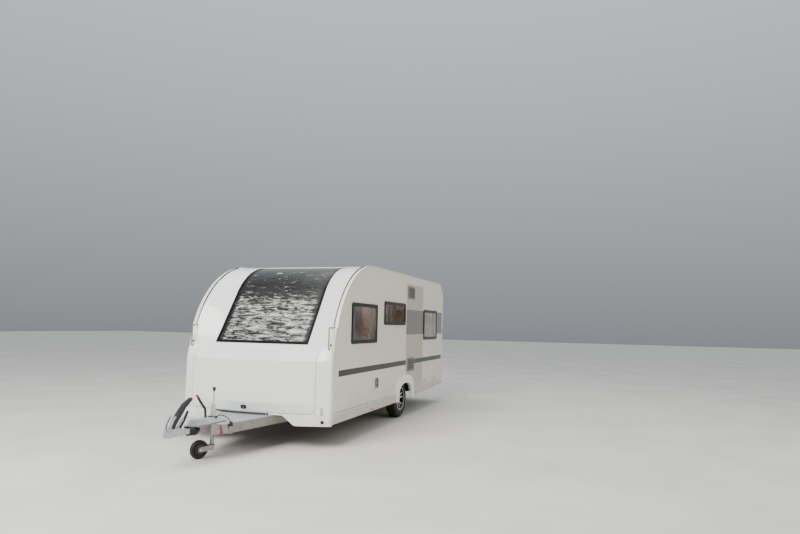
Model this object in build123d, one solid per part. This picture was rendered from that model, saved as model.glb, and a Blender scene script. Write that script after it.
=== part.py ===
"""A single-axle travel caravan, parked on its wheels and its jockey wheel.

Millimetres. +X runs forward to the coupling, +Y to the caravan's left, +Z up.
The origin is on the ground, midway along the whole length.
Every sub-part has a function of its own, and the table at the end writes them.
"""

import os
from math import asin, atan2, cos, degrees, pi, radians, sin, sqrt, tan

from build123d import *

# Body
BODY_WIDTH = 2300
WALL = 30
WALL_FRONT = 1980
WALL_LENGTH = 5670
ROOF_Z = 2550
SIDE_ARC_LOW = 1150
FRONT_RADIUS = 1400
REAR_RADIUS = 330
FLOOR_LOW = 420
FLOOR_THICK = 40
BOARD = 16
FIT = 0.3
SEAM = 5

HALF_OUT = BODY_WIDTH / 2
HALF_IN = HALF_OUT - WALL
WALL_REAR = WALL_FRONT - WALL_LENGTH
FLOOR_TOP = FLOOR_LOW + FLOOR_THICK
FRONT_ARC_X = WALL_FRONT - FRONT_RADIUS

# Front: the bowed nose, its locker lid and the raked window above
NOSE_BOW = 300
NOSE_CORNER = 53
NOSE_CORNER_R = 50
NOSE_TURN_UNDER = 40
NOSE_LOW = 300
NOSE_TURN_Z = 585
NOSE_CREASE_Z = 1140
SEAM_Z = 1268
SEAM_FORWARD = 40
SHELL = 25
LID_HALF = 955
LID_LOW = 455
LID_CORNER_R = 90
NOTCH = [
    (712, NOSE_LOW - 1),
    (676, NOSE_LOW + 8),
    (648, NOSE_LOW + 34),
    (530, FLOOR_LOW + 8),
]
CRANK_Y = HALF_OUT - 100
CRANK_Z = 355
CRANK_R = 18
STEP_PLATE = 5

SCREEN_BASE_X = 1940
SCREEN_BASE_Z = 1340
SCREEN_LEAN = 33.4
SCREEN_RADIUS = 934
SCREEN_TOP_Z = 2520
SCREEN_HALF = 736
SCREEN_FRAME = 36
SCREEN_LOW_Z = 1352
SCREEN_TURN = radians(SCREEN_LEAN)
SCREEN_RISE = SCREEN_TOP_Z - SCREEN_RADIUS * (1 - sin(SCREEN_TURN)) - SCREEN_BASE_Z
SCREEN_CROWN_X = SCREEN_BASE_X - SCREEN_RADIUS * cos(SCREEN_TURN) - SCREEN_RISE * tan(SCREEN_TURN)
ROOF_FRONT_X = min(FRONT_ARC_X, SCREEN_CROWN_X) - 40
SCREEN_REAR_X = ROOF_FRONT_X + 45
SCREEN_PANE = 6

# Openings in the sides: name, low x, high x, low z, high z
LEFT_WINDOWS = [
    ("front", 400, 1420, 1358, 1953),
    ("kitchen", -1034, 77, 1638, 2028),
    ("bed", -3185, -2205, 1358, 1953),
]
RIGHT_WINDOWS = [
    ("front", 400, 1420, 1358, 1953),
    ("dinette", -2080, -1300, 1358, 1953),
    ("washroom", -3160, -2740, 1520, 1953),
]
WINDOW_RIM = 32
WINDOW_CORNER_R = 34
WINDOW_PROUD = 14
PANE = 5
REAR_WINDOW = (-560, 560, 1390, ROOF_Z - 597)
VENTS = [("upper", ROOF_Z - 422, ROOF_Z - 195), ("lower", 803, 1041)]
VENT_X = (-1590, -1190)
VENT_RIM = 26
VENT_SLATS = 6
FLUE_X = 370
FLUE_Z = 730
HATCH = (-3230, -2200, 509, 885)
CASSETTE = (-3130, -2760, 560, 890)
DOOR = (-330, 300, 466, ROOF_Z - 260)
DOOR_WINDOW = (-230, 200, 1520, ROOF_Z - 430)
DOOR_HINGES = (760, 1380, DOOR[3] - 210)
DOOR_PIN_X = DOOR[1] + SEAM / 2
DOOR_PIN_Y = HALF_OUT + 12
DOOR_PIN_R = 7
HATCH_PIN_Y = HALF_OUT + 6
HATCH_PIN_R = 5

# Running gear
AXLE_X = -1080
TYRE_R = 327
TYRE_WIDTH = 195
RIM_SEAT_R = 190
RIM_WIDTH = 168
WHEEL_Y = HALF_OUT - 165
STUB_R = 20
DRUM_R = 128
RUNNING = 0.05
AXLE_TUBE_R = 45
ARM_FORWARD = 150
WHEEL_BOX_R = 380
WHEEL_BOX_Y = HALF_OUT - 330
WHEEL_BOX_Z = TYRE_R + 15
ARM_Y = WHEEL_Y - 195
ARM_THICK = 30
ARM_DEEP = 84
SKIN = 6
ARCH_TOP = 612
ARCH_HALF = 350
SPAT_TOP = 757
SPAT_HALF = 500
SKIRT_TOP = 455
SKIRT_LOW = 315
SKIRT_ARCH_LOW = 338
SKIRT_REAR_LOW = 392
SKIRT_PROUD = 16

# Trim on the body
RAIL_TRIM_LOW = 1590
RAIL_TRIM_WIDE = 16
RAIL_TRIM_PROUD = 10
BUMPER_DEEP = 70
BUMPER_TOP = 560
BUMPER_ROUND = 45
BUMPER_SKIN = 12
BUMPER_LOW = 392
PLATE_HALF = 270
PLATE_LOW = 400
PLATE_HIGH = 530
LAMP_PROUD = 12
LAMP_WIDE = 120
LAMP_HIGH = 90
LAMP_LOW = 422
LAMP_Y = (790, 930)
HIGH_LAMP = (-170, 170, ROOF_Z - 430, ROOF_Z - 400)
MARKERS = ((544, 336), (-1760, 364), (-2900, 382))
MARKER_LENGTH = 84
MARKER_TALL = 20
HANDLE_Y = HALF_OUT - 170
HANDLE_LOW = 900
HANDLE_HIGH = 1180
HANDLE_OUT = 45
HANDLE_R = 9
HANDLE_BEND = 20
FRONT_HANDLE = (HALF_OUT - 64, 1295, 1585)
LATCH = (-262, 1010, 1180, 44)
LATCH_PROUD = 14
# Chassis
RAIL_Y = 606
RAIL_HEIGHT = 110
RAIL_WIDTH = 50
RAIL_SHEET = 5
RAIL_REAR = -3450
RAIL_BEND_X = 1000
BAR_AIM_X = 3330
BAR_AIM_Y = 191
BAR_BEND_X = 3020
BAR_TURN_X = 3130
BAR_FRONT_X = 3340
BAR_FRONT_Y = 90
BAR_TAPER_X = 3150
BAR_TAPER_Z = 350
NOSE_X = 3775
COUPLER_Z = 420
SHAFT_Z = COUPLER_Z - 50
SHAFT_R = 25
HOUSING_R = 48
HOUSING_REAR = 3000
HOUSING_FRONT = 3290
HOUSING_FOOT = (HOUSING_REAR, 3110)
BELLOWS_FRONT = 3440
BELLOWS_FOLDS = 6
HEAD_LOW = COUPLER_Z - 62
HEAD_HALF = 46
HEAD_REAR = BELLOWS_FRONT + 2
LEVER_FRAME = [
    [(-11, 0), (-18, 80), (-60, 140), (-91, 165), (-103, 152), (-73, 125), (-37, 70), (-31, 0)],
    [(-125, 10), (-151, 37), (-198, 85), (-230, 113), (-219, 125), (-182, 95), (-134, 48), (-95, 10)],
]
LEVER = [(-63, -2, 40), (-111, 85, 58), (-193, 182, 62), (-275, 262, 52), (-387, 328, 28)]
LEVER_HALF = 22
SECOND_ARM = [(-215, 10, 24), (-281, 93, 26), (-341, 186, 22)]
SECOND_HALF = 9
BRAKE_X = 3000
BRAKE_Y = -55
BRAKE_HALF = 8
BALL_R = 25.3

# Jockey wheel
JOCKEY_X = 2950
JOCKEY_TRAIL = 165
JOCKEY_TURN = -25
JOCKEY_FOOT = 150
JOCKEY_WHEEL_R = 110
JOCKEY_WHEEL_W = 56
JOCKEY_TUBE_R = 30
JOCKEY_INNER_R = 24
JOCKEY_TUBE_LOW = 300
JOCKEY_TUBE_TOP = 632
CLAMP_WALL = 12
CLAMP_RISE = 50
FORK_GAP = 6
FORK_THICK = 6
FORK_TOP = 12
FORK_HUB_R = 28
FORK_PIN_R = 10

HOOD_REAR = (2874, 140, 19, 62, 55)
HOOD_FRONT = (3346, 78, 14, 30, 78)
HOOD_SKIN = 5

# Corner steadies
STEADY_X = [1790, -3300]
STEADY_Y = HALF_OUT - 330
STEADY_LENGTH = 370
STEADY_PIVOT_Z = 378

os.makedirs("parts", exist_ok=True)


def across(y):
    """A plane at y whose own axes are the part's X and Z."""
    return Plane(origin=(0, y, 0), x_dir=(1, 0, 0), z_dir=(0, -1, 0))


def slab_y(sketch, y0, y1):
    """A sketch in X and Z made solid from y0 up to y1."""
    return extrude(across(y1) * sketch, amount=y1 - y0, dir=(0, -1, 0))


def slab_x(sketch, x0, x1):
    """A sketch in Y and Z made solid from x0 up to x1."""
    plane = Plane(origin=(x0, 0, 0), x_dir=(0, 1, 0), z_dir=(1, 0, 0))
    return extrude(plane * sketch, amount=x1 - x0, dir=(1, 0, 0))


def slab_z(sketch, z0, z1):
    """A sketch in X and Y made solid from z0 up to z1."""
    return extrude(Plane.XY.offset(z0) * sketch, amount=z1 - z0, dir=(0, 0, 1))


def block(x0, x1, y0, y1, z0, z1):
    """A box between six planes."""
    return Pos((x0 + x1) / 2, (y0 + y1) / 2, (z0 + z1) / 2) * Box(x1 - x0, y1 - y0, z1 - z0)


def panel(a0, a1, b0, b1, corner=0):
    """A rectangle between four lines, its corners rounded if asked."""
    place = Pos((a0 + a1) / 2, (b0 + b1) / 2)
    if corner:
        return place * RectangleRounded(a1 - a0, b1 - b0, corner)
    return place * Rectangle(a1 - a0, b1 - b0)


def grown(area, by):
    """Four limits, each moved outward."""
    return (area[0] - by, area[1] + by, area[2] - by, area[3] + by)


def rod(radius, start, end):
    """A round bar from one point to another."""
    start = Vector(*start)
    way = Vector(*end) - start
    plane = Plane(origin=start, z_dir=way.normalized())
    return extrude(plane * Circle(radius), amount=way.length)


def both(shape):
    """A left-hand shape with its right-hand twin."""
    return [shape, mirror(shape, about=Plane.XZ)]


def gather(pieces):
    """Separate solids as one node."""
    solids = [solid for piece in pieces for solid in piece.solids()]
    return Compound(children=solids)


def body_outline(inset, low):
    """The side's outline, moved in all round and cut off at a low edge."""
    front = WALL_FRONT - inset
    rear = WALL_REAR + inset
    top = ROOF_Z - inset
    big = FRONT_RADIUS - inset
    small = REAR_RADIUS - inset
    big_mid = (FRONT_ARC_X + big * cos(pi / 4), SIDE_ARC_LOW + big * sin(pi / 4))
    small_z = ROOF_Z - REAR_RADIUS
    small_x = WALL_REAR + REAR_RADIUS
    small_mid = (small_x - small * cos(pi / 4), small_z + small * sin(pi / 4))
    edges = [
        Line((front, low), (front, SIDE_ARC_LOW)),
        ThreePointArc((front, SIDE_ARC_LOW), big_mid, (FRONT_ARC_X, top)),
        Line((FRONT_ARC_X, top), (small_x, top)),
        ThreePointArc((small_x, top), small_mid, (rear, small_z)),
        Line((rear, small_z), (rear, low)),
        Line((rear, low), (front, low)),
    ]
    return make_face(edges)


def arch_outline(half, top, low):
    """The bell-shaped outline of a wheel arch about the axle."""
    knee = low + (top - low) * 0.32
    edges = [
        Line((AXLE_X - half, low), (AXLE_X - half, knee)),
        ThreePointArc(
            (AXLE_X - half, knee),
            (AXLE_X - half * 0.87, knee + (top - knee) * 0.58),
            (AXLE_X - half * 0.52, top - (top - knee) * 0.1),
        ),
        ThreePointArc(
            (AXLE_X - half * 0.52, top - (top - knee) * 0.1),
            (AXLE_X, top),
            (AXLE_X + half * 0.52, top - (top - knee) * 0.1),
        ),
        ThreePointArc(
            (AXLE_X + half * 0.52, top - (top - knee) * 0.1),
            (AXLE_X + half * 0.87, knee + (top - knee) * 0.58),
            (AXLE_X + half, knee),
        ),
        Line((AXLE_X + half, knee), (AXLE_X + half, low)),
        Line((AXLE_X + half, low), (AXLE_X - half, low)),
    ]
    return make_face(edges)


def nose_section(z, bow, corner, inset, top=False):
    """A plan section of the nose: flat back, round corners, bowed front."""
    half = HALF_OUT - inset
    radius = NOSE_CORNER_R - inset
    back = WALL_FRONT - (1 if inset else 0)
    if top:
        front = WALL_FRONT + SEAM_FORWARD - inset
        round_r = front - WALL_FRONT - 1 if inset == 0 else 12
        side = (front - round_r, half)
        tip = (front, half - round_r)
        turn = round_r * (1 - cos(pi / 4))
        knee = (front - turn, half - turn)
        mid = (front, 0)
    else:
        sag = bow - corner
        bow_r = (HALF_OUT**2 + sag**2) / (2 * sag)
        centre = WALL_FRONT + bow - bow_r
        bow_r = bow_r - inset
        hub = (centre + sqrt((bow_r - radius) ** 2 - (half - radius) ** 2), half - radius)
        lean = atan2(hub[1], hub[0] - centre)
        side = (hub[0], half)
        tip = (centre + bow_r * cos(lean), bow_r * sin(lean))
        swing = (lean + pi / 2) / 2
        knee = (hub[0] + radius * cos(swing), hub[1] + radius * sin(swing))
        mid = (centre + bow_r, 0)
    edges = [
        Line((back, -half), (side[0], -half)),
        ThreePointArc((side[0], -half), (knee[0], -knee[1]), (tip[0], -tip[1])),
        Line((tip[0], -tip[1]), tip) if top else ThreePointArc((tip[0], -tip[1]), mid, tip),
        ThreePointArc(tip, knee, side),
        Line(side, (back, half)),
        Line((back, half), (back, -half)),
    ]
    return Plane.XY.offset(z) * make_face(edges)


def nose_solid(inset):
    """The nose filled in, from its low edge to the seam under the window."""
    turned = NOSE_BOW - NOSE_TURN_UNDER
    low = NOSE_LOW - (10 if inset else 0)
    drop = SHELL if inset else 0
    steps = [
        (low, turned, False),
        (LID_LOW, turned, False),
        (NOSE_TURN_Z, NOSE_BOW, False),
        (NOSE_CREASE_Z, NOSE_BOW, False),
        (SEAM_Z - drop, NOSE_BOW, True),
    ]
    levels = [nose_section(z, bow, NOSE_CORNER, inset, top) for z, bow, top in steps]
    whole = None
    for below, above in zip(levels, levels[1:]):
        layer = loft([below, above], ruled=True)
        whole = layer if whole is None else whole + layer
    return whole


def nose_shell():
    """The nose as a moulded skin, open behind and below."""
    return nose_solid(0) - nose_solid(SHELL)


def lid_outline(gap):
    """The lid's front view, with its lower corners rounded."""
    half = LID_HALF + gap
    low = LID_LOW - gap
    corner = LID_CORNER_R + gap
    top = SEAM_Z + 60
    square = panel(-half, half, low + corner, top)
    foot = panel(-half, half, low, low + 3 * corner, corner)
    return square + foot


def screen_point(offset, z):
    """A point on the straight part of the window's line at a height."""
    base_z = SCREEN_BASE_Z + offset * sin(SCREEN_TURN)
    base_x = SCREEN_BASE_X + offset * cos(SCREEN_TURN)
    return (base_x - (z - base_z) * tan(SCREEN_TURN), z)


def screen_centre():
    """The centre of the window's arc, tangent to its line and to its flat top."""
    return (SCREEN_CROWN_X, SCREEN_TOP_Z - SCREEN_RADIUS)


def screen_band(outer, inner, low, rear):
    """The strip between two offsets of the window's side view."""
    lean = SCREEN_TURN
    cx, cz = screen_centre()
    middle = (lean + pi / 2) / 2
    runs = []
    for offset in (outer, inner):
        r = SCREEN_RADIUS + offset
        start = screen_point(offset, low)
        bend = (cx + r * cos(lean), cz + r * sin(lean))
        between = (cx + r * cos(middle), cz + r * sin(middle))
        crown = (cx, cz + r)
        end = (rear, cz + r)
        runs.append((start, bend, between, crown, end))
    far, near = runs
    edges = [
        Line(far[0], far[1]),
        ThreePointArc(far[1], far[2], far[3]),
        Line(far[3], far[4]),
        Line(far[4], near[4]),
        Line(near[4], near[3]),
        ThreePointArc(near[3], near[2], near[1]),
        Line(near[1], near[0]),
        Line(near[0], far[0]),
    ]
    return make_face(edges)


def pillar_sections():
    """Two matching side views of the front: by the wall and by the window."""
    lean = SCREEN_TURN
    low = SEAM_Z + FIT
    cx, cz = screen_centre()
    wall_low = asin((SCREEN_BASE_Z - SIDE_ARC_LOW) / FRONT_RADIUS)
    wall_knee = radians(42)
    faces = []
    for y, by_wall in ((HALF_IN, True), (SCREEN_HALF, False)):
        runs = []
        ends = []
        for offset in (0, -SHELL):
            if by_wall:
                r = FRONT_RADIUS + offset

                def spot(turn):
                    return (FRONT_ARC_X + r * cos(turn), SIDE_ARC_LOW + r * sin(turn))

                foot = (WALL_FRONT + 18 + offset, low)
                base = spot(wall_low)
                first = Line(foot, base)
                second = ThreePointArc(base, spot((wall_low + wall_knee) / 2), spot(wall_knee))
                crown = (FRONT_ARC_X, SIDE_ARC_LOW + r)
                bend = spot(wall_knee)
                third = ThreePointArc(bend, spot((wall_knee + pi / 2) / 2), crown)
            else:
                r = SCREEN_RADIUS + offset
                foot = (WALL_FRONT + SEAM_FORWARD + offset, low)
                base = screen_point(offset, SCREEN_BASE_Z)
                bend = (cx + r * cos(lean), cz + r * sin(lean))
                middle = (lean + pi / 2) / 2
                crown = (cx, cz + r)
                first = Line(foot, base)
                second = Line(base, bend)
                third = ThreePointArc(bend, (cx + r * cos(middle), cz + r * sin(middle)), crown)
            end = (ROOF_FRONT_X, crown[1])
            runs.append([first, second, third, Line(crown, end)])
            ends.append((foot, end))
        edges = runs[0] + [Line(ends[0][1], ends[1][1])]
        edges += runs[1] + [Line(ends[1][0], ends[0][0])]
        faces.append(across(y) * make_face(edges))
    return faces


def front_panel():
    """The white pillars beside the window, the strip below it and the brow above."""
    wall_face, window_face = pillar_sections()
    pillar = loft([wall_face, window_face], ruled=True)
    middle = extrude(window_face, amount=2 * SCREEN_HALF, dir=(0, -1, 0))
    opening = slab_y(
        screen_band(60, -60, SCREEN_LOW_Z, SCREEN_REAR_X), -SCREEN_HALF - FIT, SCREEN_HALF + FIT
    )
    return pillar + mirror(pillar, about=Plane.XZ) + middle - opening


def front_window_frame():
    """The dark frame that holds the front window."""
    ring = slab_y(screen_band(6, -22, SCREEN_LOW_Z + FIT, SCREEN_REAR_X + FIT), -SCREEN_HALF, SCREEN_HALF)
    rim = SCREEN_FRAME
    inner = slab_y(
        screen_band(60, -60, SCREEN_LOW_Z + rim, SCREEN_REAR_X + rim), -SCREEN_HALF + rim, SCREEN_HALF - rim
    )
    return ring - inner


def front_window_pane():
    """The clear pane, bent over the front edge of the roof."""
    rim = SCREEN_FRAME + FIT
    return slab_y(
        screen_band(0, -SCREEN_PANE, SCREEN_LOW_Z + rim, SCREEN_REAR_X + rim),
        -SCREEN_HALF + rim,
        SCREEN_HALF - rim,
    )


def front_lower_panel():
    """The fixed skin round the locker lid, cut out below for the drawbar."""
    start, end = WALL_FRONT - 10, WALL_FRONT + NOSE_BOW + 60
    skin = nose_shell() - slab_x(lid_outline(SEAM), start, end)
    across_nose = [(-y, z) for y, z in NOTCH] + [(y, z) for y, z in reversed(NOTCH)]
    skin -= slab_x(Polygon(*across_nose, align=None), start, end)
    for y in (CRANK_Y, -CRANK_Y):
        skin -= slab_x(Pos(y, CRANK_Z) * Circle(CRANK_R), start, end)
    return skin


def gas_locker_lid():
    """The large front lid, hung from a pin along its top edge."""
    skin = nose_shell() & slab_x(lid_outline(0), WALL_FRONT + 1, WALL_FRONT + NOSE_BOW + 60)
    return skin


def side_wall(side):
    """One long wall with its openings cut through."""
    wall = slab_y(body_outline(0, FLOOR_LOW), HALF_IN, HALF_OUT)
    windows = LEFT_WINDOWS if side > 0 else RIGHT_WINDOWS
    holes = [panel(*grown(window[1:], -12), WINDOW_CORNER_R - 10) for window in windows]
    if side > 0:
        holes.append(panel(*grown(HATCH, SEAM), 24))
        holes += [panel(*grown((*VENT_X, low, high), -22)) for name, low, high in VENTS]
    else:
        holes.append(panel(*grown(CASSETTE, SEAM), 24))
        holes.append(panel(*grown(DOOR, SEAM), 40))
    holes.append(arch_outline(ARCH_HALF, ARCH_TOP, SKIRT_LOW))
    for hole in holes:
        wall -= slab_y(hole, HALF_IN - 5, HALF_OUT + 5)
    wall += hatch_knuckles(HATCH if side > 0 else CASSETTE)
    return wall if side > 0 else mirror(wall, about=Plane.XZ)


def roof_panel():
    """The roof between the side walls, with the rear corner's round."""
    band = body_outline(0, FLOOR_LOW) - body_outline(WALL, FLOOR_LOW - 10)
    keep = panel(WALL_REAR - 10, ROOF_FRONT_X, ROOF_Z - REAR_RADIUS, ROOF_Z + 10)
    roof = slab_y(band & keep, -HALF_IN, HALF_IN)
    for light in ROOF_LIGHTS:
        roof -= slab_z(light_ring(light, -30, 4), ROOF_Z - 60, ROOF_Z + 10)
    return roof


def rear_panel():
    """The rear wall between the side walls, with its window cut."""
    wall = slab_x(panel(-HALF_IN, HALF_IN, FLOOR_TOP, ROOF_Z - REAR_RADIUS), WALL_REAR, WALL_REAR + WALL)
    hole = panel(*grown(REAR_WINDOW, -12), WINDOW_CORNER_R - 10)
    return wall - slab_x(hole, WALL_REAR - 5, WALL_REAR + WALL + 5)


def floor_panel():
    """The floor sandwich between the walls, cut out over the wheels."""
    floor = block(WALL_REAR, WALL_FRONT, -HALF_IN, HALF_IN, FLOOR_LOW, FLOOR_TOP)
    for side in (1, -1):
        low, high = sorted((side * (WHEEL_BOX_Y - FIT), side * (HALF_IN + 5)))
        floor -= slab_y(Pos(AXLE_X, WHEEL_BOX_Z) * Circle(WHEEL_BOX_R + FIT), low, high)
    return floor


def wheel_boxes():
    """Half-round boxes that close the floor over the wheels."""
    disc = Pos(AXLE_X, WHEEL_BOX_Z) * Circle(WHEEL_BOX_R)
    inside = Pos(AXLE_X, WHEEL_BOX_Z) * Circle(WHEEL_BOX_R - SKIN)
    shell = slab_y(disc, WHEEL_BOX_Y, HALF_IN) - slab_y(inside, WHEEL_BOX_Y + SKIN, HALF_IN + 5)
    shell -= block(AXLE_X - 500, AXLE_X + 500, 0, HALF_OUT, -200, FLOOR_LOW)
    return gather(both(shell))


def side_window_frames():
    """Dark rims of the side and rear windows."""
    rims = []
    for side, windows in ((1, LEFT_WINDOWS), (-1, RIGHT_WINDOWS)):
        for window in windows:
            area = window[1:]
            ring = slab_y(panel(*area, WINDOW_CORNER_R), HALF_OUT, HALF_OUT + WINDOW_PROUD)
            sleeve = slab_y(panel(*grown(area, -12 - FIT), WINDOW_CORNER_R - 10), HALF_IN + 4, HALF_OUT)
            hole = slab_y(panel(*grown(area, -WINDOW_RIM), 8), HALF_IN - 5, HALF_OUT + WINDOW_PROUD + 5)
            rim = ring + sleeve - hole
            rims.append(rim if side > 0 else mirror(rim, about=Plane.XZ))
    area = REAR_WINDOW
    ring = slab_x(panel(*area, WINDOW_CORNER_R), WALL_REAR - WINDOW_PROUD, WALL_REAR)
    sleeve = slab_x(panel(*grown(area, -12 - FIT), WINDOW_CORNER_R - 10), WALL_REAR, WALL_REAR + WALL - 4)
    hole = slab_x(panel(*grown(area, -WINDOW_RIM), 8), WALL_REAR - WINDOW_PROUD - 5, WALL_REAR + WALL + 5)
    rims.append(ring + sleeve - hole)
    return gather(rims)


def side_window_panes():
    """Tinted panes of the side and rear windows, set in their rims."""
    panes = []
    inset = WINDOW_RIM + FIT
    outer = HALF_OUT + WINDOW_PROUD - 4
    for side, windows in ((1, LEFT_WINDOWS), (-1, RIGHT_WINDOWS)):
        for window in windows:
            pane = slab_y(panel(*grown(window[1:], -inset), 8), outer - PANE, outer)
            panes.append(pane if side > 0 else mirror(pane, about=Plane.XZ))
    outer_x = WALL_REAR - WINDOW_PROUD + 4
    panes.append(slab_x(panel(*grown(REAR_WINDOW, -inset), 8), outer_x, outer_x + PANE))
    return gather(panes)


# Rooflights: name, middle x, middle y, length, width, height
ROOF_LIGHTS = [
    ("large", -560, 0, 760, 560, 62),
    ("small", -2240, 430, 460, 460, 58),
    ("washroom", -3000, -650, 320, 320, 45),
]
LIGHT_FLANGE = 16
LIGHT_SKIN = 6


def light_ring(light, by, corner):
    """A rooflight's plan outline, moved outward or inward."""
    name, x, y, length, width, height = light
    return panel(*grown((x - length / 2, x + length / 2, y - width / 2, y + width / 2), by), corner)


def roof_lights():
    """Pale hatches on the roof: a flange with a domed cover."""
    lights = []
    for light in ROOF_LIGHTS:
        top = ROOF_Z + light[-1]
        flange = slab_z(light_ring(light, 0, 40), ROOF_Z, ROOF_Z + LIGHT_FLANGE)
        foot = Plane.XY.offset(ROOF_Z + LIGHT_FLANGE) * light_ring(light, -14, 40)
        crown = Plane.XY.offset(top) * light_ring(light, -60, 40)
        low = Plane.XY.offset(ROOF_Z - 5) * light_ring(light, -34, 30)
        ceiling = Plane.XY.offset(top - LIGHT_SKIN) * light_ring(light, -64, 30)
        dome = loft([foot, crown], ruled=True)
        lights.append(flange + dome - loft([low, ceiling], ruled=True))
    return gather(lights)


def skirt_section(low):
    """A sill's section in Y and Z, down to a lower edge."""
    y = HALF_OUT
    return Polygon(
        (y, SKIRT_TOP),
        (y + 8, SKIRT_TOP),
        (y + SKIRT_PROUD, SKIRT_TOP - 10),
        (y + SKIRT_PROUD, SKIRT_TOP - 44),
        (y + 8, SKIRT_TOP - 52),
        (y + 8, low + 10),
        (y + 2, low),
        (y - 8, low),
        (y - 8, FLOOR_LOW - FIT),
        (y, FLOOR_LOW - FIT),
        align=None,
    )


def side_skirts():
    """Stepped sills along each side; behind the wheel their lower edge rises."""
    front = slab_x(skirt_section(SKIRT_LOW), AXLE_X + SPAT_HALF + FIT, WALL_FRONT - FIT)
    ends = []
    for x, low in ((WALL_REAR, SKIRT_REAR_LOW), (AXLE_X - SPAT_HALF - FIT, SKIRT_ARCH_LOW)):
        plane = Plane(origin=(x, 0, 0), x_dir=(0, 1, 0), z_dir=(1, 0, 0))
        ends.append(plane * skirt_section(low))
    rear = loft(ends, ruled=True)
    return gather(both(front) + both(rear))


def wheel_arch_trims():
    """Moulded surrounds of the two wheel arches."""
    outline = arch_outline(SPAT_HALF, SPAT_TOP, SKIRT_LOW)
    hole = arch_outline(ARCH_HALF, ARCH_TOP, SKIRT_LOW - 20)
    trim = slab_y(outline, HALF_OUT, HALF_OUT + 20) - slab_y(hole, HALF_OUT - 5, HALF_OUT + 30)
    return gather(both(trim))


def awning_rails():
    """Rails that cover the joint between the sides and the roof and front."""
    band = body_outline(-2, FLOOR_LOW) - body_outline(RAIL_TRIM_WIDE, FLOOR_LOW - 10)
    keep = panel(WALL_REAR - 10, WALL_FRONT + 30, RAIL_TRIM_LOW, ROOF_Z + 20)
    rail = slab_y(band & keep, HALF_OUT, HALF_OUT + RAIL_TRIM_PROUD)
    return gather(both(rail))


def fridge_vents():
    """Two slatted vents on the left side."""
    vents = []
    left, right = VENT_X
    for name, low, high in VENTS:
        frame = slab_y(panel(left, right, low, high, 10), HALF_OUT, HALF_OUT + 12)
        inside = grown((left, right, low, high), -VENT_RIM)
        grille = frame - slab_y(panel(*inside), HALF_OUT - 5, HALF_OUT + 20)
        pitch = (inside[3] - inside[2]) / VENT_SLATS
        for number in range(VENT_SLATS):
            middle = inside[2] + (number + 0.5) * pitch
            slat = panel(left + 20, right - 20, middle - pitch * 0.26, middle + pitch * 0.26)
            grille += slab_y(slat, HALF_OUT + 2, HALF_OUT + 11)
        vents.append(grille)
    return gather(vents)


def heater_flue():
    """The heater's wall cowl with its two ports."""
    cowl = slab_y(Pos(FLUE_X, FLUE_Z) * SlotOverall(160, 104, rotation=90), HALF_OUT, HALF_OUT + 22)
    for z in (FLUE_Z - 32, FLUE_Z + 32):
        cowl -= slab_y(Pos(FLUE_X, z) * Circle(24), HALF_OUT + 8, HALF_OUT + 30)
    return cowl


def gas_locker_tub():
    """The open locker behind the lid: floor, back, two ends and a top."""
    back = WALL_FRONT - 170
    half = LID_HALF - 12
    top = SEAM_Z - 50
    tub = block(back, WALL_FRONT + 8, -half, half, FLOOR_TOP, top)
    tub -= block(back + BOARD, WALL_FRONT + 90, -half + BOARD, half - BOARD, FLOOR_TOP + BOARD, top - BOARD)
    return tub + block(WALL_FRONT - 20, WALL_FRONT + 78, -half, half, FLOOR_TOP, FLOOR_TOP + BOARD)


def hatch_panel(area):
    """A flat hatch on the left side with its hinge barrel above."""
    x0, x1 = area[0] + 60, area[1] - 60
    plate = slab_y(panel(*area, 20), HALF_IN + 6, HALF_OUT)
    face = slab_y(panel(*grown(area, -26), 12), HALF_OUT, HALF_OUT + 2)
    barrel = rod(HATCH_PIN_R, (x0, HATCH_PIN_Y, area[3]), (x1, HATCH_PIN_Y, area[3]))
    leaf = block(x0, x1, HALF_OUT, HATCH_PIN_Y, area[3] - 26, area[3])
    return plate + face + leaf + barrel


def hatch_knuckles(area):
    """The fixed knuckles at both ends of a hatch's hinge barrel."""
    pieces = None
    for x0 in (area[0] + 34, area[1] - 59.5):
        knuckle = rod(HATCH_PIN_R, (x0, HATCH_PIN_Y, area[3]), (x0 + 25.5, HATCH_PIN_Y, area[3]))
        knuckle += block(x0, x0 + 25.5, HALF_OUT - 2, HATCH_PIN_Y, area[3] + SEAM + 1, area[3] + 24)
        knuckle += block(x0, x0 + 25.5, HATCH_PIN_Y - 2, HATCH_PIN_Y + 2, area[3], area[3] + 24)
        pieces = knuckle if pieces is None else pieces + knuckle
    return pieces


def door():
    """The entrance door with its window opening, latch grip and hinge barrels."""
    leaf = slab_y(panel(*DOOR, 36), HALF_IN + 2, HALF_OUT + 4)
    leaf -= slab_y(panel(*DOOR_WINDOW, 30), HALF_IN - 5, HALF_OUT + 10)
    for z in DOOR_HINGES:
        barrel = rod(DOOR_PIN_R, (DOOR_PIN_X, DOOR_PIN_Y, z - 40), (DOOR_PIN_X, DOOR_PIN_Y, z + 40))
        tab = block(DOOR_PIN_X - 40, DOOR_PIN_X - 2.5, HALF_OUT + 4, DOOR_PIN_Y, z - 40, z + 40)
        leaf += barrel + tab
    x, low, high, wide = LATCH
    grip = Pos(x, (low + high) / 2) * SlotOverall(high - low, wide, rotation=90)
    leaf += slab_y(grip, HALF_OUT + 4, HALF_OUT + 4 + LATCH_PROUD)
    return mirror(leaf, about=Plane.XZ)


def door_window():
    """The door's tinted pane."""
    return mirror(slab_y(panel(*grown(DOOR_WINDOW, -FIT), 30), HALF_OUT - 8, HALF_OUT), about=Plane.XZ)


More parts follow.
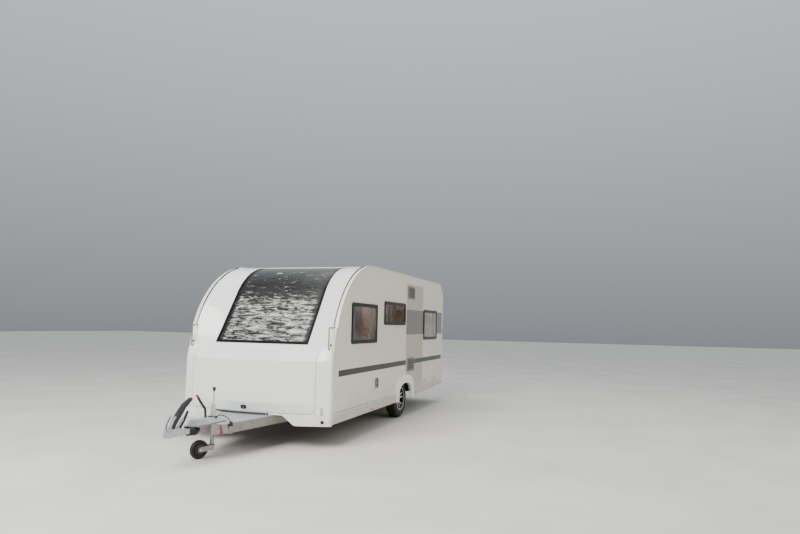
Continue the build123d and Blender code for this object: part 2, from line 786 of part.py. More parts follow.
def door_frame():
    """The white surround of the doorway with the fixed hinge barrels."""
    outer = grown(DOOR, 34)
    ring = slab_y(panel(*outer, 44), HALF_OUT, HALF_OUT + 6)
    ring -= block(outer[0] - 5, outer[1] + 5, HALF_OUT - 5, HALF_OUT + 10, outer[2] - 5, SKIRT_TOP + FIT)
    ring -= slab_y(panel(*grown(DOOR, SEAM), 40), HALF_OUT - 5, HALF_OUT + 10)
    for z in DOOR_HINGES:
        ring -= block(DOOR_PIN_X - 60, DOOR_PIN_X + 16, HALF_OUT - 1, HALF_OUT + 10, z - 41, z + 41)
        for end in (z - 69 - FIT, z + 40 + FIT):
            barrel = rod(DOOR_PIN_R, (DOOR_PIN_X, DOOR_PIN_Y, end), (DOOR_PIN_X, DOOR_PIN_Y, end + 29))
            ring += barrel + block(DOOR_PIN_X + 2.5, DOOR_PIN_X + 30, HALF_OUT, DOOR_PIN_Y, end, end + 29)
    return mirror(ring, about=Plane.XZ)


def rear_bumper():
    """The lower rear moulding with room for the lamps and a blank plate."""
    rear = WALL_REAR - BUMPER_DEEP
    outer = panel(rear, WALL_REAR - FIT, -HALF_OUT, HALF_OUT)
    outer = fillet(outer.vertices().sort_by(Axis.X)[:2], BUMPER_ROUND)
    side = HALF_OUT - BUMPER_SKIN - 2
    hollow = panel(rear + BUMPER_SKIN, WALL_REAR + 5, -side, side)
    shape = slab_z(outer, BUMPER_LOW, BUMPER_TOP)
    shape -= slab_z(hollow, BUMPER_LOW - 5, BUMPER_TOP - BUMPER_SKIN)
    return shape - block(rear - 10, rear + 6, -PLATE_HALF, PLATE_HALF, PLATE_LOW, PLATE_HIGH)


def rear_lamps():
    """Lamp blocks on the rear moulding, and one high on the wall."""
    lamps = []
    face = WALL_REAR - BUMPER_DEEP
    for y in LAMP_Y:
        area = panel(y - LAMP_WIDE / 2, y + LAMP_WIDE / 2, LAMP_LOW, LAMP_LOW + LAMP_HIGH, 12)
        lamps += both(slab_x(area, face - LAMP_PROUD, face))
    lamps.append(slab_x(panel(*HIGH_LAMP, 8), WALL_REAR - LAMP_PROUD, WALL_REAR))
    return gather(lamps)


def marker_lamps():
    """Small amber lamps along the sills."""
    lamps = []
    for x, low in MARKERS:
        area = panel(x - MARKER_LENGTH / 2, x + MARKER_LENGTH / 2, low, low + MARKER_TALL, 8)
        lamps += both(slab_y(area, HALF_OUT + 8, HALF_OUT + 18))
    return gather(lamps)


def handle(y, ends, out):
    """A bent bar between two places on a wall, standing out from it."""
    (low_x, low), (high_x, high) = ends
    bar = FilletPolyline(
        (low_x, y, low),
        (out, y, low),
        (out, y, high),
        (high_x, y, high),
        radius=HANDLE_BEND,
    )
    start = Plane(origin=bar @ 0, z_dir=bar % 0)
    return sweep(start * Circle(HANDLE_R), path=bar)


def arc_x(z):
    """Where the front edge of the side's outline lies at a height."""
    if z < SIDE_ARC_LOW:
        return WALL_FRONT
    return FRONT_ARC_X + sqrt(FRONT_RADIUS**2 - (z - SIDE_ARC_LOW) ** 2)


def grab_handles():
    """Upright handles on the rear wall and on the front corners."""
    rear = handle(HANDLE_Y, ((WALL_REAR, HANDLE_LOW), (WALL_REAR, HANDLE_HIGH)), WALL_REAR - HANDLE_OUT)
    y, low, high = FRONT_HANDLE
    front = handle(y, ((arc_x(low) - 8, low), (arc_x(high) - 8, high)), arc_x(low) + HANDLE_OUT)
    front -= front_panel()
    return gather(both(rear) + both(max(front.solids(), key=lambda solid: solid.volume)))


def wedge(points, y0, y1):
    """A side view made solid across."""
    return slab_y(Polygon(*points, align=None), y0, y1)


def strip(points, low, high):
    """A plan strip along a line, between two distances to its left."""
    normals = []
    for (x0, y0), (x1, y1) in zip(points, points[1:]):
        normals.append(Vector(y0 - y1, x1 - x0).normalized())
    sides = []
    for distance in (low, high):
        side = []
        for number, point in enumerate(points):
            before = normals[max(number - 1, 0)]
            after = normals[min(number, len(normals) - 1)]
            shift = (before + after) * (distance / (1 + before.dot(after)))
            side.append((point[0] + shift.X, point[1] + shift.Y))
        sides.append(side)
    return Polygon(*sides[0], *reversed(sides[1]), align=None)


def pressed_rail(points):
    """A channel rail along a plan line, its web on the line's left."""
    half = RAIL_WIDTH / 2
    low = FLOOR_LOW - RAIL_HEIGHT
    rail = slab_z(strip(points, half - RAIL_SHEET, half), low, FLOOR_LOW)
    for z in (low, FLOOR_LOW - RAIL_SHEET):
        rail += slab_z(strip(points, -half, half), z, z + RAIL_SHEET)
    return rail


def chassis_rails():
    """The two long pressed rails under the floor."""
    return gather(both(pressed_rail([(RAIL_REAR, RAIL_Y), (RAIL_BEND_X, RAIL_Y)])))


def drawbar():
    """The two members that run in towards the coupling and there turn side by side."""
    back = RAIL_BEND_X - 40
    line = [
        (back, bar_y(back)),
        (BAR_BEND_X, bar_y(BAR_BEND_X)),
        (BAR_TURN_X, BAR_FRONT_Y),
        (BAR_FRONT_X, BAR_FRONT_Y),
    ]
    left = pressed_rail(line)
    left -= block(back - 100, RAIL_BEND_X + FIT, 0, HALF_OUT, 0, FLOOR_TOP)
    under = FLOOR_LOW - RAIL_HEIGHT
    taper = [
        (BAR_TAPER_X, under),
        (BAR_FRONT_X + 10, BAR_TAPER_Z),
        (BAR_FRONT_X + 10, under - 10),
        (BAR_TAPER_X, under - 10),
    ]
    left -= wedge(taper, 0, HALF_OUT)
    right = mirror(left, about=Plane.XZ)
    return gather([left + plug_cup(), right])


def bar_y(x):
    """How far from the middle a member's straight part lies at a place along it."""
    return BAR_AIM_Y + (BAR_AIM_X - x) * (RAIL_Y - BAR_AIM_Y) / (BAR_AIM_X - RAIL_BEND_X)


def axle():
    """The axle tube with its trailing arms, stubs and saddles under the rails."""
    tube_x = AXLE_X + ARM_FORWARD
    tube_z = FLOOR_LOW - RAIL_HEIGHT - AXLE_TUBE_R - 4
    shape = rod(AXLE_TUBE_R, (tube_x, -ARM_Y, tube_z), (tube_x, ARM_Y, tube_z))
    lean = degrees(atan2(TYRE_R - tube_z, ARM_FORWARD))
    for side in (1, -1):
        slot = SlotCenterToCenter(sqrt(ARM_FORWARD**2 + (TYRE_R - tube_z) ** 2), ARM_DEEP, rotation=-lean)
        middle = Pos((AXLE_X + tube_x) / 2, (TYRE_R + tube_z) / 2)
        arm = slab_y(middle * slot, ARM_Y, ARM_Y + ARM_THICK)
        stub = rod(STUB_R, (AXLE_X, ARM_Y + ARM_THICK, TYRE_R), (AXLE_X, WHEEL_Y + 40, TYRE_R))
        plate_y = WHEEL_Y - 105
        collar = rod(34, (AXLE_X, ARM_Y + ARM_THICK, TYRE_R), (AXLE_X, plate_y, TYRE_R))
        plate = rod(DRUM_R - 4, (AXLE_X, plate_y, TYRE_R), (AXLE_X, plate_y + 6, TYRE_R))
        end = arm + stub + collar + plate
        shape += end if side > 0 else mirror(end, about=Plane.XZ)
        low, high = sorted((side * (RAIL_Y - 30), side * (RAIL_Y + 30)))
        shape += block(tube_x - 70, tube_x + 70, low, high, tube_z, tube_z + AXLE_TUBE_R + 4)
    return shape


def tyre():
    """A road tyre with three grooves, about its own wheel's middle."""
    half = TYRE_WIDTH / 2
    tread = half - 22
    bead = RIM_WIDTH / 2 - 10
    wall = half - 3
    edges = [
        Line((RIM_SEAT_R, -bead), (RIM_SEAT_R, bead)),
        ThreePointArc((RIM_SEAT_R, bead), (RIM_SEAT_R + 16, bead + 9.5), (RIM_SEAT_R + 52, wall)),
        ThreePointArc((RIM_SEAT_R + 52, wall), (TYRE_R - 40, half - 3), (TYRE_R - 10, tread)),
        ThreePointArc((TYRE_R - 10, tread), (TYRE_R, 0), (TYRE_R - 10, -tread)),
        ThreePointArc((TYRE_R - 10, -tread), (TYRE_R - 40, -half + 3), (RIM_SEAT_R + 52, -wall)),
        ThreePointArc((RIM_SEAT_R + 52, -wall), (RIM_SEAT_R + 16, -bead - 9.5), (RIM_SEAT_R, -bead)),
    ]
    section = make_face(edges)
    for place in (-34, 0, 34):
        section -= Pos(TYRE_R, place) * Rectangle(14, 9)
    return wheel_turn(section)


def wheel_turn(section):
    """A section of radius and width turned about the left wheel's axle."""
    plane = Plane(origin=(AXLE_X, WHEEL_Y, TYRE_R), x_dir=(1, 0, 0), z_dir=(0, 0, 1))
    return revolve(plane * section, axis=Axis((AXLE_X, WHEEL_Y, TYRE_R), (0, 1, 0)), revolution_arc=360)


# Wheel disc: radius, inner face and outer face from the wheel's middle
DISC = [(26, 6, 44), (62, 6, 44), (80, 12, 40), (150, 34, 56), (176, 42, 66)]
SPOKES = 5


def rim():
    """An alloy wheel: barrel, hub and five pairs of spokes."""
    half = RIM_WIDTH / 2
    lip = RIM_SEAT_R + 12
    face = half + FIT
    barrel = Polygon(
        (RIM_SEAT_R - FIT, -half + 8),
        (lip, -face),
        (lip, -face - 5),
        (RIM_SEAT_R - 6, -face - 5),
        (RIM_SEAT_R - 16, -half + 20),
        (RIM_SEAT_R - 16, half - 20),
        (RIM_SEAT_R - 6, face + 5),
        (lip, face + 5),
        (lip, face),
        (RIM_SEAT_R - FIT, half - 8),
        align=None,
    )
    inner = [(r, low) for r, low, high in DISC]
    outer = [(r, high) for r, low, high in reversed(DISC)]
    disc = wheel_turn(Polygon(*inner, *outer, align=None))
    keep = Circle(64)
    for number in range(SPOKES):
        for lean in (-13, 13):
            arm = Polygon((20, -16), (185, -10), (185, 10), (20, 16), align=None)
            keep += Rot(0, 0, 90 + number * 360 / SPOKES + lean) * arm
    keep = slab_y(Pos(AXLE_X, TYRE_R) * keep, WHEEL_Y - half, WHEEL_Y + half + 10)
    hub = wheel_turn(panel(STUB_R + RUNNING, 62, -30, 44))
    cap = wheel_turn(panel(0, 30, 46, 54))
    return wheel_turn(barrel) + (disc & keep) + hub + cap + wheel_turn(panel(26, 30, 40, 50))


def brake_drum():
    """The finned drum behind the wheel's disc, open towards the axle."""
    face = panel(30, DRUM_R, -36, -30)
    wall = panel(DRUM_R - 10, DRUM_R, -96, -34)
    groove = Pos(DRUM_R, -64) * Rectangle(8, 10)
    return wheel_turn(face + wall - groove)


def hood_solid(inset):
    """The hood's body between its rear and front sections, moved in if asked."""
    ends = []
    for x, half, lip, top_half, rise in (HOOD_REAR, HOOD_FRONT):
        out = half - inset
        flat = top_half - inset * 0.4
        x += inset if x == HOOD_REAR[0] else -inset
        base = FLOOR_LOW - (1 if inset else 0)
        points = [
            (-out, base),
            (out, base),
            (out, FLOOR_LOW + lip - inset * 0.5),
            (flat, FLOOR_LOW + rise - inset),
            (-flat, FLOOR_LOW + rise - inset),
            (-out, FLOOR_LOW + lip - inset * 0.5),
        ]
        plane = Plane(origin=(x, 0, 0), x_dir=(0, 1, 0), z_dir=(1, 0, 0))
        ends.append(plane * Polygon(*points, align=None))
    return loft(ends, ruled=True)


def drawbar_cover():
    """The step plate over the drawbar and the sloping hood ahead of it."""
    rear = WALL_FRONT + 60
    front = JOCKEY_X - 90
    plate = Polygon(
        (rear, bar_y(rear) + 18),
        (front, bar_y(front) + 18),
        (front, -bar_y(front) - 18),
        (rear, -bar_y(rear) - 18),
        align=None,
    )
    step = slab_z(plate, FLOOR_LOW, FLOOR_LOW + STEP_PLATE)
    hood = hood_solid(0) - hood_solid(HOOD_SKIN)
    top = FLOOR_LOW + 100
    hood -= rod(JOCKEY_TUBE_R + CLAMP_WALL + 3, (JOCKEY_X, 0, FLOOR_LOW - 1), (JOCKEY_X, 0, top))
    slot_y = (BRAKE_Y - BRAKE_HALF - 4, BRAKE_Y + BRAKE_HALF + 4)
    hood -= block(BRAKE_X - 6, BRAKE_X + 50, *slot_y, FLOOR_LOW + 20, top)
    gland = Vector(*CABLE[0])
    way = (Vector(*CABLE[1]) - gland).normalized()
    return gather([step, hood + rod(11, gland, gland - way * 12)])


def overrun_housing():
    """The housing that slides the coupling's shaft, held between and under the members."""
    body = rod(HOUSING_R, (HOUSING_REAR, 0, SHAFT_Z), (HOUSING_FRONT, 0, SHAFT_Z))
    body += rod(HOUSING_R + 6, (HOUSING_FRONT - 12, 0, SHAFT_Z), (HOUSING_FRONT, 0, SHAFT_Z))
    under = FLOOR_LOW - RAIL_HEIGHT - FIT
    rear, front = HOUSING_FOOT
    reach = 190
    body += block(rear + 50, front, -reach, reach, under - 10, under)
    body += block(rear, front, BRAKE_Y - 12, -BRAKE_Y + 12, under - 5, COUPLER_Z - 6)
    web = BAR_FRONT_Y + RAIL_WIDTH / 2 - RAIL_SHEET - FIT
    body += block(BAR_TAPER_X + 20, BAR_TAPER_X + 100, -web, web, SHAFT_Z + 5, SHAFT_Z + 33)
    return body - rod(SHAFT_R + FIT, (HOUSING_REAR - 5, 0, SHAFT_Z), (HOUSING_FRONT + 5, 0, SHAFT_Z))


def overrun_shaft():
    """The shaft that runs back from the coupling head into the housing."""
    return rod(SHAFT_R, (HOUSING_REAR + 5, 0, SHAFT_Z), (NOSE_X - 230, 0, SHAFT_Z))


def bellows():
    """The rubber boot round the shaft, narrowing from the housing to the head."""
    pitch = (BELLOWS_FRONT - HOUSING_FRONT) / BELLOWS_FOLDS
    points = [(HOUSING_FRONT, SHAFT_R + FIT)]
    for number in range(BELLOWS_FOLDS):
        x = HOUSING_FRONT + number * pitch
        points += [(x, 44 - 2 * number), (x + 0.5 * pitch, 56 - 2.5 * number)]
    points += [(BELLOWS_FRONT, 32), (BELLOWS_FRONT, SHAFT_R + FIT)]
    plane = Plane(origin=(0, 0, SHAFT_Z), x_dir=(1, 0, 0), z_dir=(0, -1, 0))
    turned = plane * Polygon(*points, align=None)
    return revolve(turned, axis=Axis((0, 0, SHAFT_Z), (1, 0, 0)), revolution_arc=360)


def head_outline(lift=0):
    """The side view of the coupling head, raised a little if asked."""
    top = HEAD_LOW + lift
    return Polygon(
        (HEAD_REAR, HEAD_LOW),
        (HEAD_REAR, top + 54),
        (NOSE_X - 230, top + 70),
        (NOSE_X - 180, top + 86),
        (NOSE_X - 50, top + 92),
        (NOSE_X - 8, top + 70),
        (NOSE_X, HEAD_LOW),
        align=None,
    )


def coupling_head():
    """The coupling that closes over a towing ball, with the frame of its lever."""
    ball_x = NOSE_X - 46
    head = slab_y(head_outline(), -HEAD_HALF, HEAD_HALF)
    head -= rod(SHAFT_R + FIT, (HEAD_REAR - 2, 0, SHAFT_Z), (NOSE_X - 229, 0, SHAFT_Z))
    head -= block(NOSE_X - 225, NOSE_X - 100, -36, 36, HEAD_LOW - 5, HEAD_LOW + 50)
    head -= rod(BALL_R, (ball_x, 0, HEAD_LOW - 5), (ball_x, 0, HEAD_LOW + 34))
    for side in (HEAD_HALF - 20, -HEAD_HALF + 8):
        for outline in LEVER_FRAME:
            points = [(NOSE_X + x, COUPLER_Z + z) for x, z in outline]
            head += wedge(points, side, side + 12)
    return head


def bent_bar(path, half):
    """A flat bar along points in X and Z, each with the bar's width there."""
    upper = []
    lower = []
    for number, (x, z, width) in enumerate(path):
        before = path[max(number - 1, 0)]
        after = path[min(number + 1, len(path) - 1)]
        lean = atan2(after[1] - before[1], after[0] - before[0])
        step = width / 2
        upper.append((x - step * sin(lean), z + step * cos(lean)))
        lower.append((x + step * sin(lean), z - step * cos(lean)))
    return wedge([*upper, *reversed(lower)], -half, half)


def coupling_lever():
    """The long stabiliser lever over the coupling head, and the short arm behind it."""
    arms = []
    for path, half in ((LEVER, LEVER_HALF), (SECOND_ARM, SECOND_HALF)):
        placed = [(NOSE_X + x, COUPLER_Z + z, width) for x, z, width in path]
        arms.append(bent_bar(placed, half) - slab_y(head_outline(FIT), -60, 60))
    return gather(arms)


def handbrake_lever():
    """The handbrake's bent lever with its grip."""
    foot = COUPLER_Z - 6 + FIT
    outline = [
        (BRAKE_X, foot),
        (BRAKE_X + 34, foot),
        (BRAKE_X + 38, foot + 86),
        (BRAKE_X + 50, foot + 160),
        (BRAKE_X + 138, foot + 246),
        (BRAKE_X + 118, foot + 264),
        (BRAKE_X + 24, foot + 172),
        (BRAKE_X + 12, foot + 86),
    ]
    lever = wedge(outline, BRAKE_Y - BRAKE_HALF, BRAKE_Y + BRAKE_HALF)
    grip = rod(15, (BRAKE_X + 124, BRAKE_Y, foot + 251), (BRAKE_X + 208, BRAKE_Y, foot + 346))
    return lever + grip


def jockey_clamp():
    """The clamp that holds the jockey tube between the drawbar members."""
    under = FLOOR_LOW - RAIL_HEIGHT - FIT
    low = under - 10
    high = FLOOR_LOW + CLAMP_RISE
    reach = bar_y(JOCKEY_X) + 20
    strap = block(JOCKEY_X - 20, JOCKEY_X + 20, -reach, reach, low, under)
    strap += rod(JOCKEY_TUBE_R + CLAMP_WALL, (JOCKEY_X, 0, low), (JOCKEY_X, 0, high))
    return strap - rod(JOCKEY_TUBE_R + FIT, (JOCKEY_X, 0, low - 5), (JOCKEY_X, 0, high + 10))


def jockey_outer_tube():
    """The fixed jockey tube with its spindle, crank and knob."""
    low, top = JOCKEY_TUBE_LOW, JOCKEY_TUBE_TOP
    tube = rod(JOCKEY_TUBE_R, (JOCKEY_X, 0, low), (JOCKEY_X, 0, top))
    tube -= rod(JOCKEY_INNER_R + FIT, (JOCKEY_X, 0, low - 10), (JOCKEY_X, 0, top - 6))
    tube += rod(9, (JOCKEY_X, 0, top), (JOCKEY_X, 0, 790))
    return tube + Pos(JOCKEY_X, 0, 812) * Cone(12, 26, 50)


def jockey_inner_tube():
    """The tube that winds up and down in the outer one."""
    return rod(JOCKEY_INNER_R, (JOCKEY_X, 0, JOCKEY_FOOT), (JOCKEY_X, 0, 500))


def turned_caster(shape):
    """A piece of the caster, swivelled to the side as it is parked."""
    return shape.rotate(Axis((JOCKEY_X, 0, 0), (0, 0, 1)), JOCKEY_TURN)


def jockey_fork():
    """The trailing fork that swivels under the inner tube: a plate and two flat bars."""
    gap = JOCKEY_WHEEL_W / 2 + FORK_GAP
    edge = gap + FORK_THICK
    hub_x = JOCKEY_X + JOCKEY_TRAIL
    hub_z = JOCKEY_WHEEL_R
    top = JOCKEY_FOOT - FIT
    plate = Pos(JOCKEY_X, 0) * Circle(edge) + panel(JOCKEY_X, JOCKEY_X + edge, -edge, edge)
    fork = slab_z(plate, top - FORK_TOP, top)
    outline = Polygon(
        (JOCKEY_X - 8, top),
        (JOCKEY_X + edge, top),
        (hub_x, hub_z + FORK_HUB_R),
        (hub_x, hub_z - FORK_HUB_R),
        (JOCKEY_X - 8, hub_z - FORK_HUB_R + 8),
        align=None,
    )
    bar = outline + Pos(hub_x, hub_z) * Circle(FORK_HUB_R)
    fork += slab_y(bar, gap, edge) + slab_y(bar, -edge, -gap)
    fork += rod(FORK_PIN_R, (hub_x, -edge - 8, hub_z), (hub_x, edge + 8, hub_z))
    return turned_caster(fork)


def jockey_wheel():
    """The jockey wheel, its rubber running on the ground."""
    half = JOCKEY_WHEEL_W / 2
    bore = FORK_PIN_R + RUNNING
    section = Polygon(
        (bore, -half),
        (30, -half),
        (34, -half + 12),
        (70, -half + 12),
        (76, -half + 4),
        (JOCKEY_WHEEL_R - 8, -half),
        (JOCKEY_WHEEL_R, -half + 10),
        (JOCKEY_WHEEL_R, half - 10),
        (JOCKEY_WHEEL_R - 8, half),
        (76, half - 4),
        (70, half - 12),
        (34, half - 12),
        (30, half),
        (bore, half),
        align=None,
    )
    place = (JOCKEY_X + JOCKEY_TRAIL, 0, JOCKEY_WHEEL_R)
    plane = Plane(origin=place, x_dir=(1, 0, 0), z_dir=(0, 0, 1))
    wheel = revolve(plane * section, axis=Axis(place, (0, 1, 0)), revolution_arc=360)
    return turned_caster(wheel)


def steady(x, side):
    """One corner steady, folded up under the floor, its foot towards the middle."""
    way = -1 if x > 0 else 1
    far = x + way * STEADY_LENGTH
    low, high = sorted((x, far))
    leg = block(low, high, STEADY_Y - 22, STEADY_Y + 22, STEADY_PIVOT_Z - 18, STEADY_PIVOT_Z + 18)
    leg -= block(low - 5, high + 5, STEADY_Y - 18, STEADY_Y + 18, STEADY_PIVOT_Z - 14, STEADY_PIVOT_Z + 30)
    leg += rod(18, (x, STEADY_Y - 22, STEADY_PIVOT_Z), (x, STEADY_Y + 22, STEADY_PIVOT_Z))
    leg -= rod(8 + RUNNING, (x, STEADY_Y - 30, STEADY_PIVOT_Z), (x, STEADY_Y + 30, STEADY_PIVOT_Z))
    foot = block(far - 6, far + 6, STEADY_Y - 40, STEADY_Y + 40, STEADY_PIVOT_Z - 40, STEADY_PIVOT_Z + 30)
    leg += foot
    return leg if side > 0 else mirror(leg, about=Plane.XZ)


def steady_brackets():
    """The brackets under the floor that carry the four steadies."""
    brackets = []
    for x in STEADY_X:
        top = FLOOR_LOW
        ears = block(x - 30, x + 30, STEADY_Y - 34, STEADY_Y + 34, STEADY_PIVOT_Z - 22, top)
        ears -= block(x - 40, x + 40, STEADY_Y - 22 - FIT, STEADY_Y + 22 + FIT, 0, top - 5)
        ears += rod(8, (x, STEADY_Y - 34, STEADY_PIVOT_Z), (x, STEADY_Y + 34, STEADY_PIVOT_Z))
        brackets += both(ears)
    return gather(brackets)


def inner_space():
    """The room inside the walls, a hair clear of them."""
    return slab_y(body_outline(WALL + 1, FLOOR_TOP), -HALF_IN, HALF_IN)


def wheel_room():
    """What a cupboard must leave free round both wheel boxes."""
    disc = Pos(AXLE_X, WHEEL_BOX_Z) * Circle(WHEEL_BOX_R + 2)
    shape = slab_y(disc, WHEEL_BOX_Y - 2, HALF_OUT)
    return shape + mirror(shape, about=Plane.XZ)


# Cupboards, open towards the wall or the floor: name, x, x, y, y, top
CUPBOARDS = [
    ("left seat", 420, 1800, 560, HALF_IN, 820),
    ("right seat", 420, 1800, -HALF_IN, -560, 820),
    ("kitchen", -1150, 100, 600, HALF_IN, 1330),
    ("fridge", -1640, -1154, 560, HALF_IN, 2380),
    ("bed box", -3640, -1700, -60, HALF_IN, 820),
    ("wardrobe", -2480, -2120, -HALF_IN, -600, 2200),
    ("cassette", -3200, -2690, -HALF_IN, -700, 930),
]
LOCKERS = [
    ("left locker", -1150, 500, 800, HALF_IN, 2080, 2480),
    ("right locker", -2100, -400, -HALF_IN, -800, 2080, 2480),
]


def furniture():
    """Seat boxes, kitchen, fridge cupboard, bed box, wardrobe and lockers."""
    pieces = []
    space = inner_space()
    room = wheel_room()
    for name, x0, x1, y0, y1, top in CUPBOARDS:
        whole = block(x0, x1, y0, y1, FLOOR_TOP, top)
        reach0 = y0 + BOARD if y0 > -HALF_IN else y0 - 5
        reach1 = y1 - BOARD if y1 < HALF_IN else y1 + 5
        hollow = block(x0 + BOARD, x1 - BOARD, reach0, reach1, FLOOR_TOP - 5, top - BOARD)
        pieces.append((whole - hollow) & space)
    for name, x0, x1, y0, y1, low, top in LOCKERS:
        whole = block(x0, x1, y0, y1, low, top)
        reach0 = y0 + BOARD if y0 > -HALF_IN else y0 - 5
        reach1 = y1 - BOARD if y1 < HALF_IN else y1 + 5
        hollow = block(x0 + BOARD, x1 - BOARD, reach0, reach1, low + BOARD, top + 5)
        pieces.append((whole - hollow) & space)
    wall = block(-3640, -2484, -300, -300 + 22, FLOOR_TOP, 2500) & space
    pieces.append(wall)
    return gather([piece - room for piece in pieces])


# Soft pieces: name, x, x, y, y, low, high
CUSHIONS = [
    ("left seat", 420, 1790, 560, 980, 820, 960),
    ("left back", 420, 1790, 984, HALF_IN - 2, 820, 1300),
    ("right seat", 420, 1790, -980, -560, 820, 960),
    ("right back", 420, 1790, -HALF_IN + 2, -984, 820, 1300),
    ("mattress", -3630, -1710, -50, HALF_IN - 2, 820, 970),
]


def upholstery():
    """Seat cushions, back rests and the mattress."""
    return gather([block(*limits[1:]) for limits in CUSHIONS])


# Towing cable: x, y, z of each point of its route
CABLE_R = 6
CABLE = [
    (2986, 66, 477),
    (2975, 84, 500),
    (2970, 114, 512),
    (2972, 156, 510),
    (2980, 204, 500),
    (2991, 252, 482),
    (3000, 284, 450),
]
PLUG_R = 22


def tow_cable():
    """The lighting cable from the hood to the parked plug."""
    corners = CABLE[1:-1]
    radii = []
    for before, point, after in zip(CABLE, corners, CABLE[2:]):
        run_in = Vector(*point) - Vector(*before)
        run_out = Vector(*after) - Vector(*point)
        turn = radians(run_in.get_angle(run_out))
        radii.append(0.45 * min(run_in.length, run_out.length) / (sin(turn / 2) / cos(turn / 2)))
    path = FilletPolyline(*CABLE, radius=radii)
    print("cable radii", [round(r) for r in radii])
    start = Plane(origin=path @ 0, z_dir=path % 0)
    cable = sweep(start * Circle(CABLE_R), path=path)
    print("cable volume ratio", round(cable.volume / (pi * CABLE_R**2 * path.length), 4))
    return cable


def tow_plug():
    """The plug on the cable's end, parked in the cup on the left member."""
    x, y, z = CABLE[-1]
    start = Vector(x, y, z)
    way = (start - Vector(*CABLE[-2])).normalized()
    neck = rod(11, start, start + way * 14)
    low = start.Z - 74
    foot = start + way * 12
    body = rod(PLUG_R, (foot.X, foot.Y + 6, foot.Z), (foot.X, foot.Y + 6, low))
    return neck + body


def plug_cup():
    """The cup that holds the parked plug, on a tab of the left member."""
    x, y, z = CABLE[-1]
    start = Vector(x, y, z)
    way = (start - Vector(*CABLE[-2])).normalized()
    foot = start + way * 12
    middle = (foot.X, foot.Y + 6)
    low = start.Z - 80
    cup = rod(PLUG_R + 4, (*middle, low), (*middle, low + 26))
    inner = bar_y(middle[0]) + RAIL_WIDTH / 2 - 4
    cup += block(middle[0] - 12, middle[0] + 12, inner, middle[1], low, low + 6)
    return cup - rod(PLUG_R + FIT, (*middle, low + 6 - FIT), (*middle, low + 40))


PARTS = {
    "floor": floor_panel,
    "side_wall_left": lambda: side_wall(1),
    "side_wall_right": lambda: side_wall(-1),
    "front_panel": front_panel,
    "front_lower_panel": front_lower_panel,
    "roof_panel": roof_panel,
    "rear_panel": rear_panel,
    "front_window_frame": front_window_frame,
    "front_window_pane": front_window_pane,
    "side_window_frames": side_window_frames,
    "side_window_panes": side_window_panes,
    "roof_lights": roof_lights,
    "side_skirts": side_skirts,
    "wheel_arch_trims": wheel_arch_trims,
    "wheel_boxes": wheel_boxes,
    "awning_rails": awning_rails,
    "fridge_vents": fridge_vents,
    "heater_flue": heater_flue,
    "gas_locker_tub": gas_locker_tub,
    "gas_locker_lid": gas_locker_lid,
    "service_hatch": lambda: hatch_panel(HATCH),
    "toilet_hatch": lambda: mirror(hatch_panel(CASSETTE), about=Plane.XZ),
    "door": door,
    "door_window": door_window,
    "door_frame": door_frame,
    "rear_bumper": rear_bumper,
    "rear_lamps": rear_lamps,
    "marker_lamps": marker_lamps,
    "grab_handles": grab_handles,
    "chassis_rails": chassis_rails,
    "drawbar": drawbar,
    "axle": axle,
    "tyre_left": tyre,
    "tyre_right": lambda: mirror(tyre(), about=Plane.XZ),
    "rim_left": rim,
    "rim_right": lambda: mirror(rim(), about=Plane.XZ),
    "drum_left": brake_drum,
    "drum_right": lambda: mirror(brake_drum(), about=Plane.XZ),
    "drawbar_cover": drawbar_cover,
    "overrun_housing": overrun_housing,
    "overrun_shaft": overrun_shaft,
    "bellows": bellows,
    "coupling_head": coupling_head,
    "coupling_lever": coupling_lever,
    "handbrake_lever": handbrake_lever,
    "jockey_clamp": jockey_clamp,
    "jockey_outer_tube": jockey_outer_tube,
    "jockey_inner_tube": jockey_inner_tube,
    "jockey_fork": jockey_fork,
    "jockey_wheel": jockey_wheel,
    "steady_brackets": steady_brackets,
    "furniture": furniture,
    "upholstery": upholstery,
    "tow_cable": tow_cable,
    "tow_plug": tow_plug,
}
for x in STEADY_X:
    for side in (1, -1):
        name = f"steady_{'front' if x > 0 else 'rear'}_{'left' if side > 0 else 'right'}"
        PARTS[name] = lambda x=x, side=side: steady(x, side)

if __name__ == "__main__":
    for node, make in PARTS.items():
        export_step(make(), f"parts/{node}.step")
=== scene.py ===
"""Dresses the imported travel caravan: finishes for its solids, and the pieces that only show.

Metres, in the model's own frame: +X forward to the coupling, +Y to its left, +Z up.
It is laid out as an add-on, with one operator for each group of pieces.
"""

import math

import bmesh
import bpy
from bpy.props import FloatProperty, FloatVectorProperty, IntProperty, PointerProperty
from mathutils import Matrix, Vector
from mathutils.bvhtree import BVHTree


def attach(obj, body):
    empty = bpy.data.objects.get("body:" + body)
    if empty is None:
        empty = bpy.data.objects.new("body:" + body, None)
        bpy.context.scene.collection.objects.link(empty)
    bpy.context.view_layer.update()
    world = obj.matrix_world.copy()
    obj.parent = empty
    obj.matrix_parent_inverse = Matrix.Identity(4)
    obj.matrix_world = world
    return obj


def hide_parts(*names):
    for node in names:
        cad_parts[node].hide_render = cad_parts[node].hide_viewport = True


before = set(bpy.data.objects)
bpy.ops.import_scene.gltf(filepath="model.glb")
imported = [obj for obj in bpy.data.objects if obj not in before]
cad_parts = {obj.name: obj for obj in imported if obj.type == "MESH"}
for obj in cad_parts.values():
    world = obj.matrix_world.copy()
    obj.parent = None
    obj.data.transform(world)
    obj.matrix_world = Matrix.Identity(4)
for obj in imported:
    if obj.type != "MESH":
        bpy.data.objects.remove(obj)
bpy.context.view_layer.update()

bl_info = {
    "name": "Travel caravan dressing",
    "version": (1, 0),
    "blender": (4, 5, 0),
    "location": "View3D > Sidebar > Caravan",
    "description": "Finishes and trim for a single-axle travel caravan",
    "category": "Object",
}

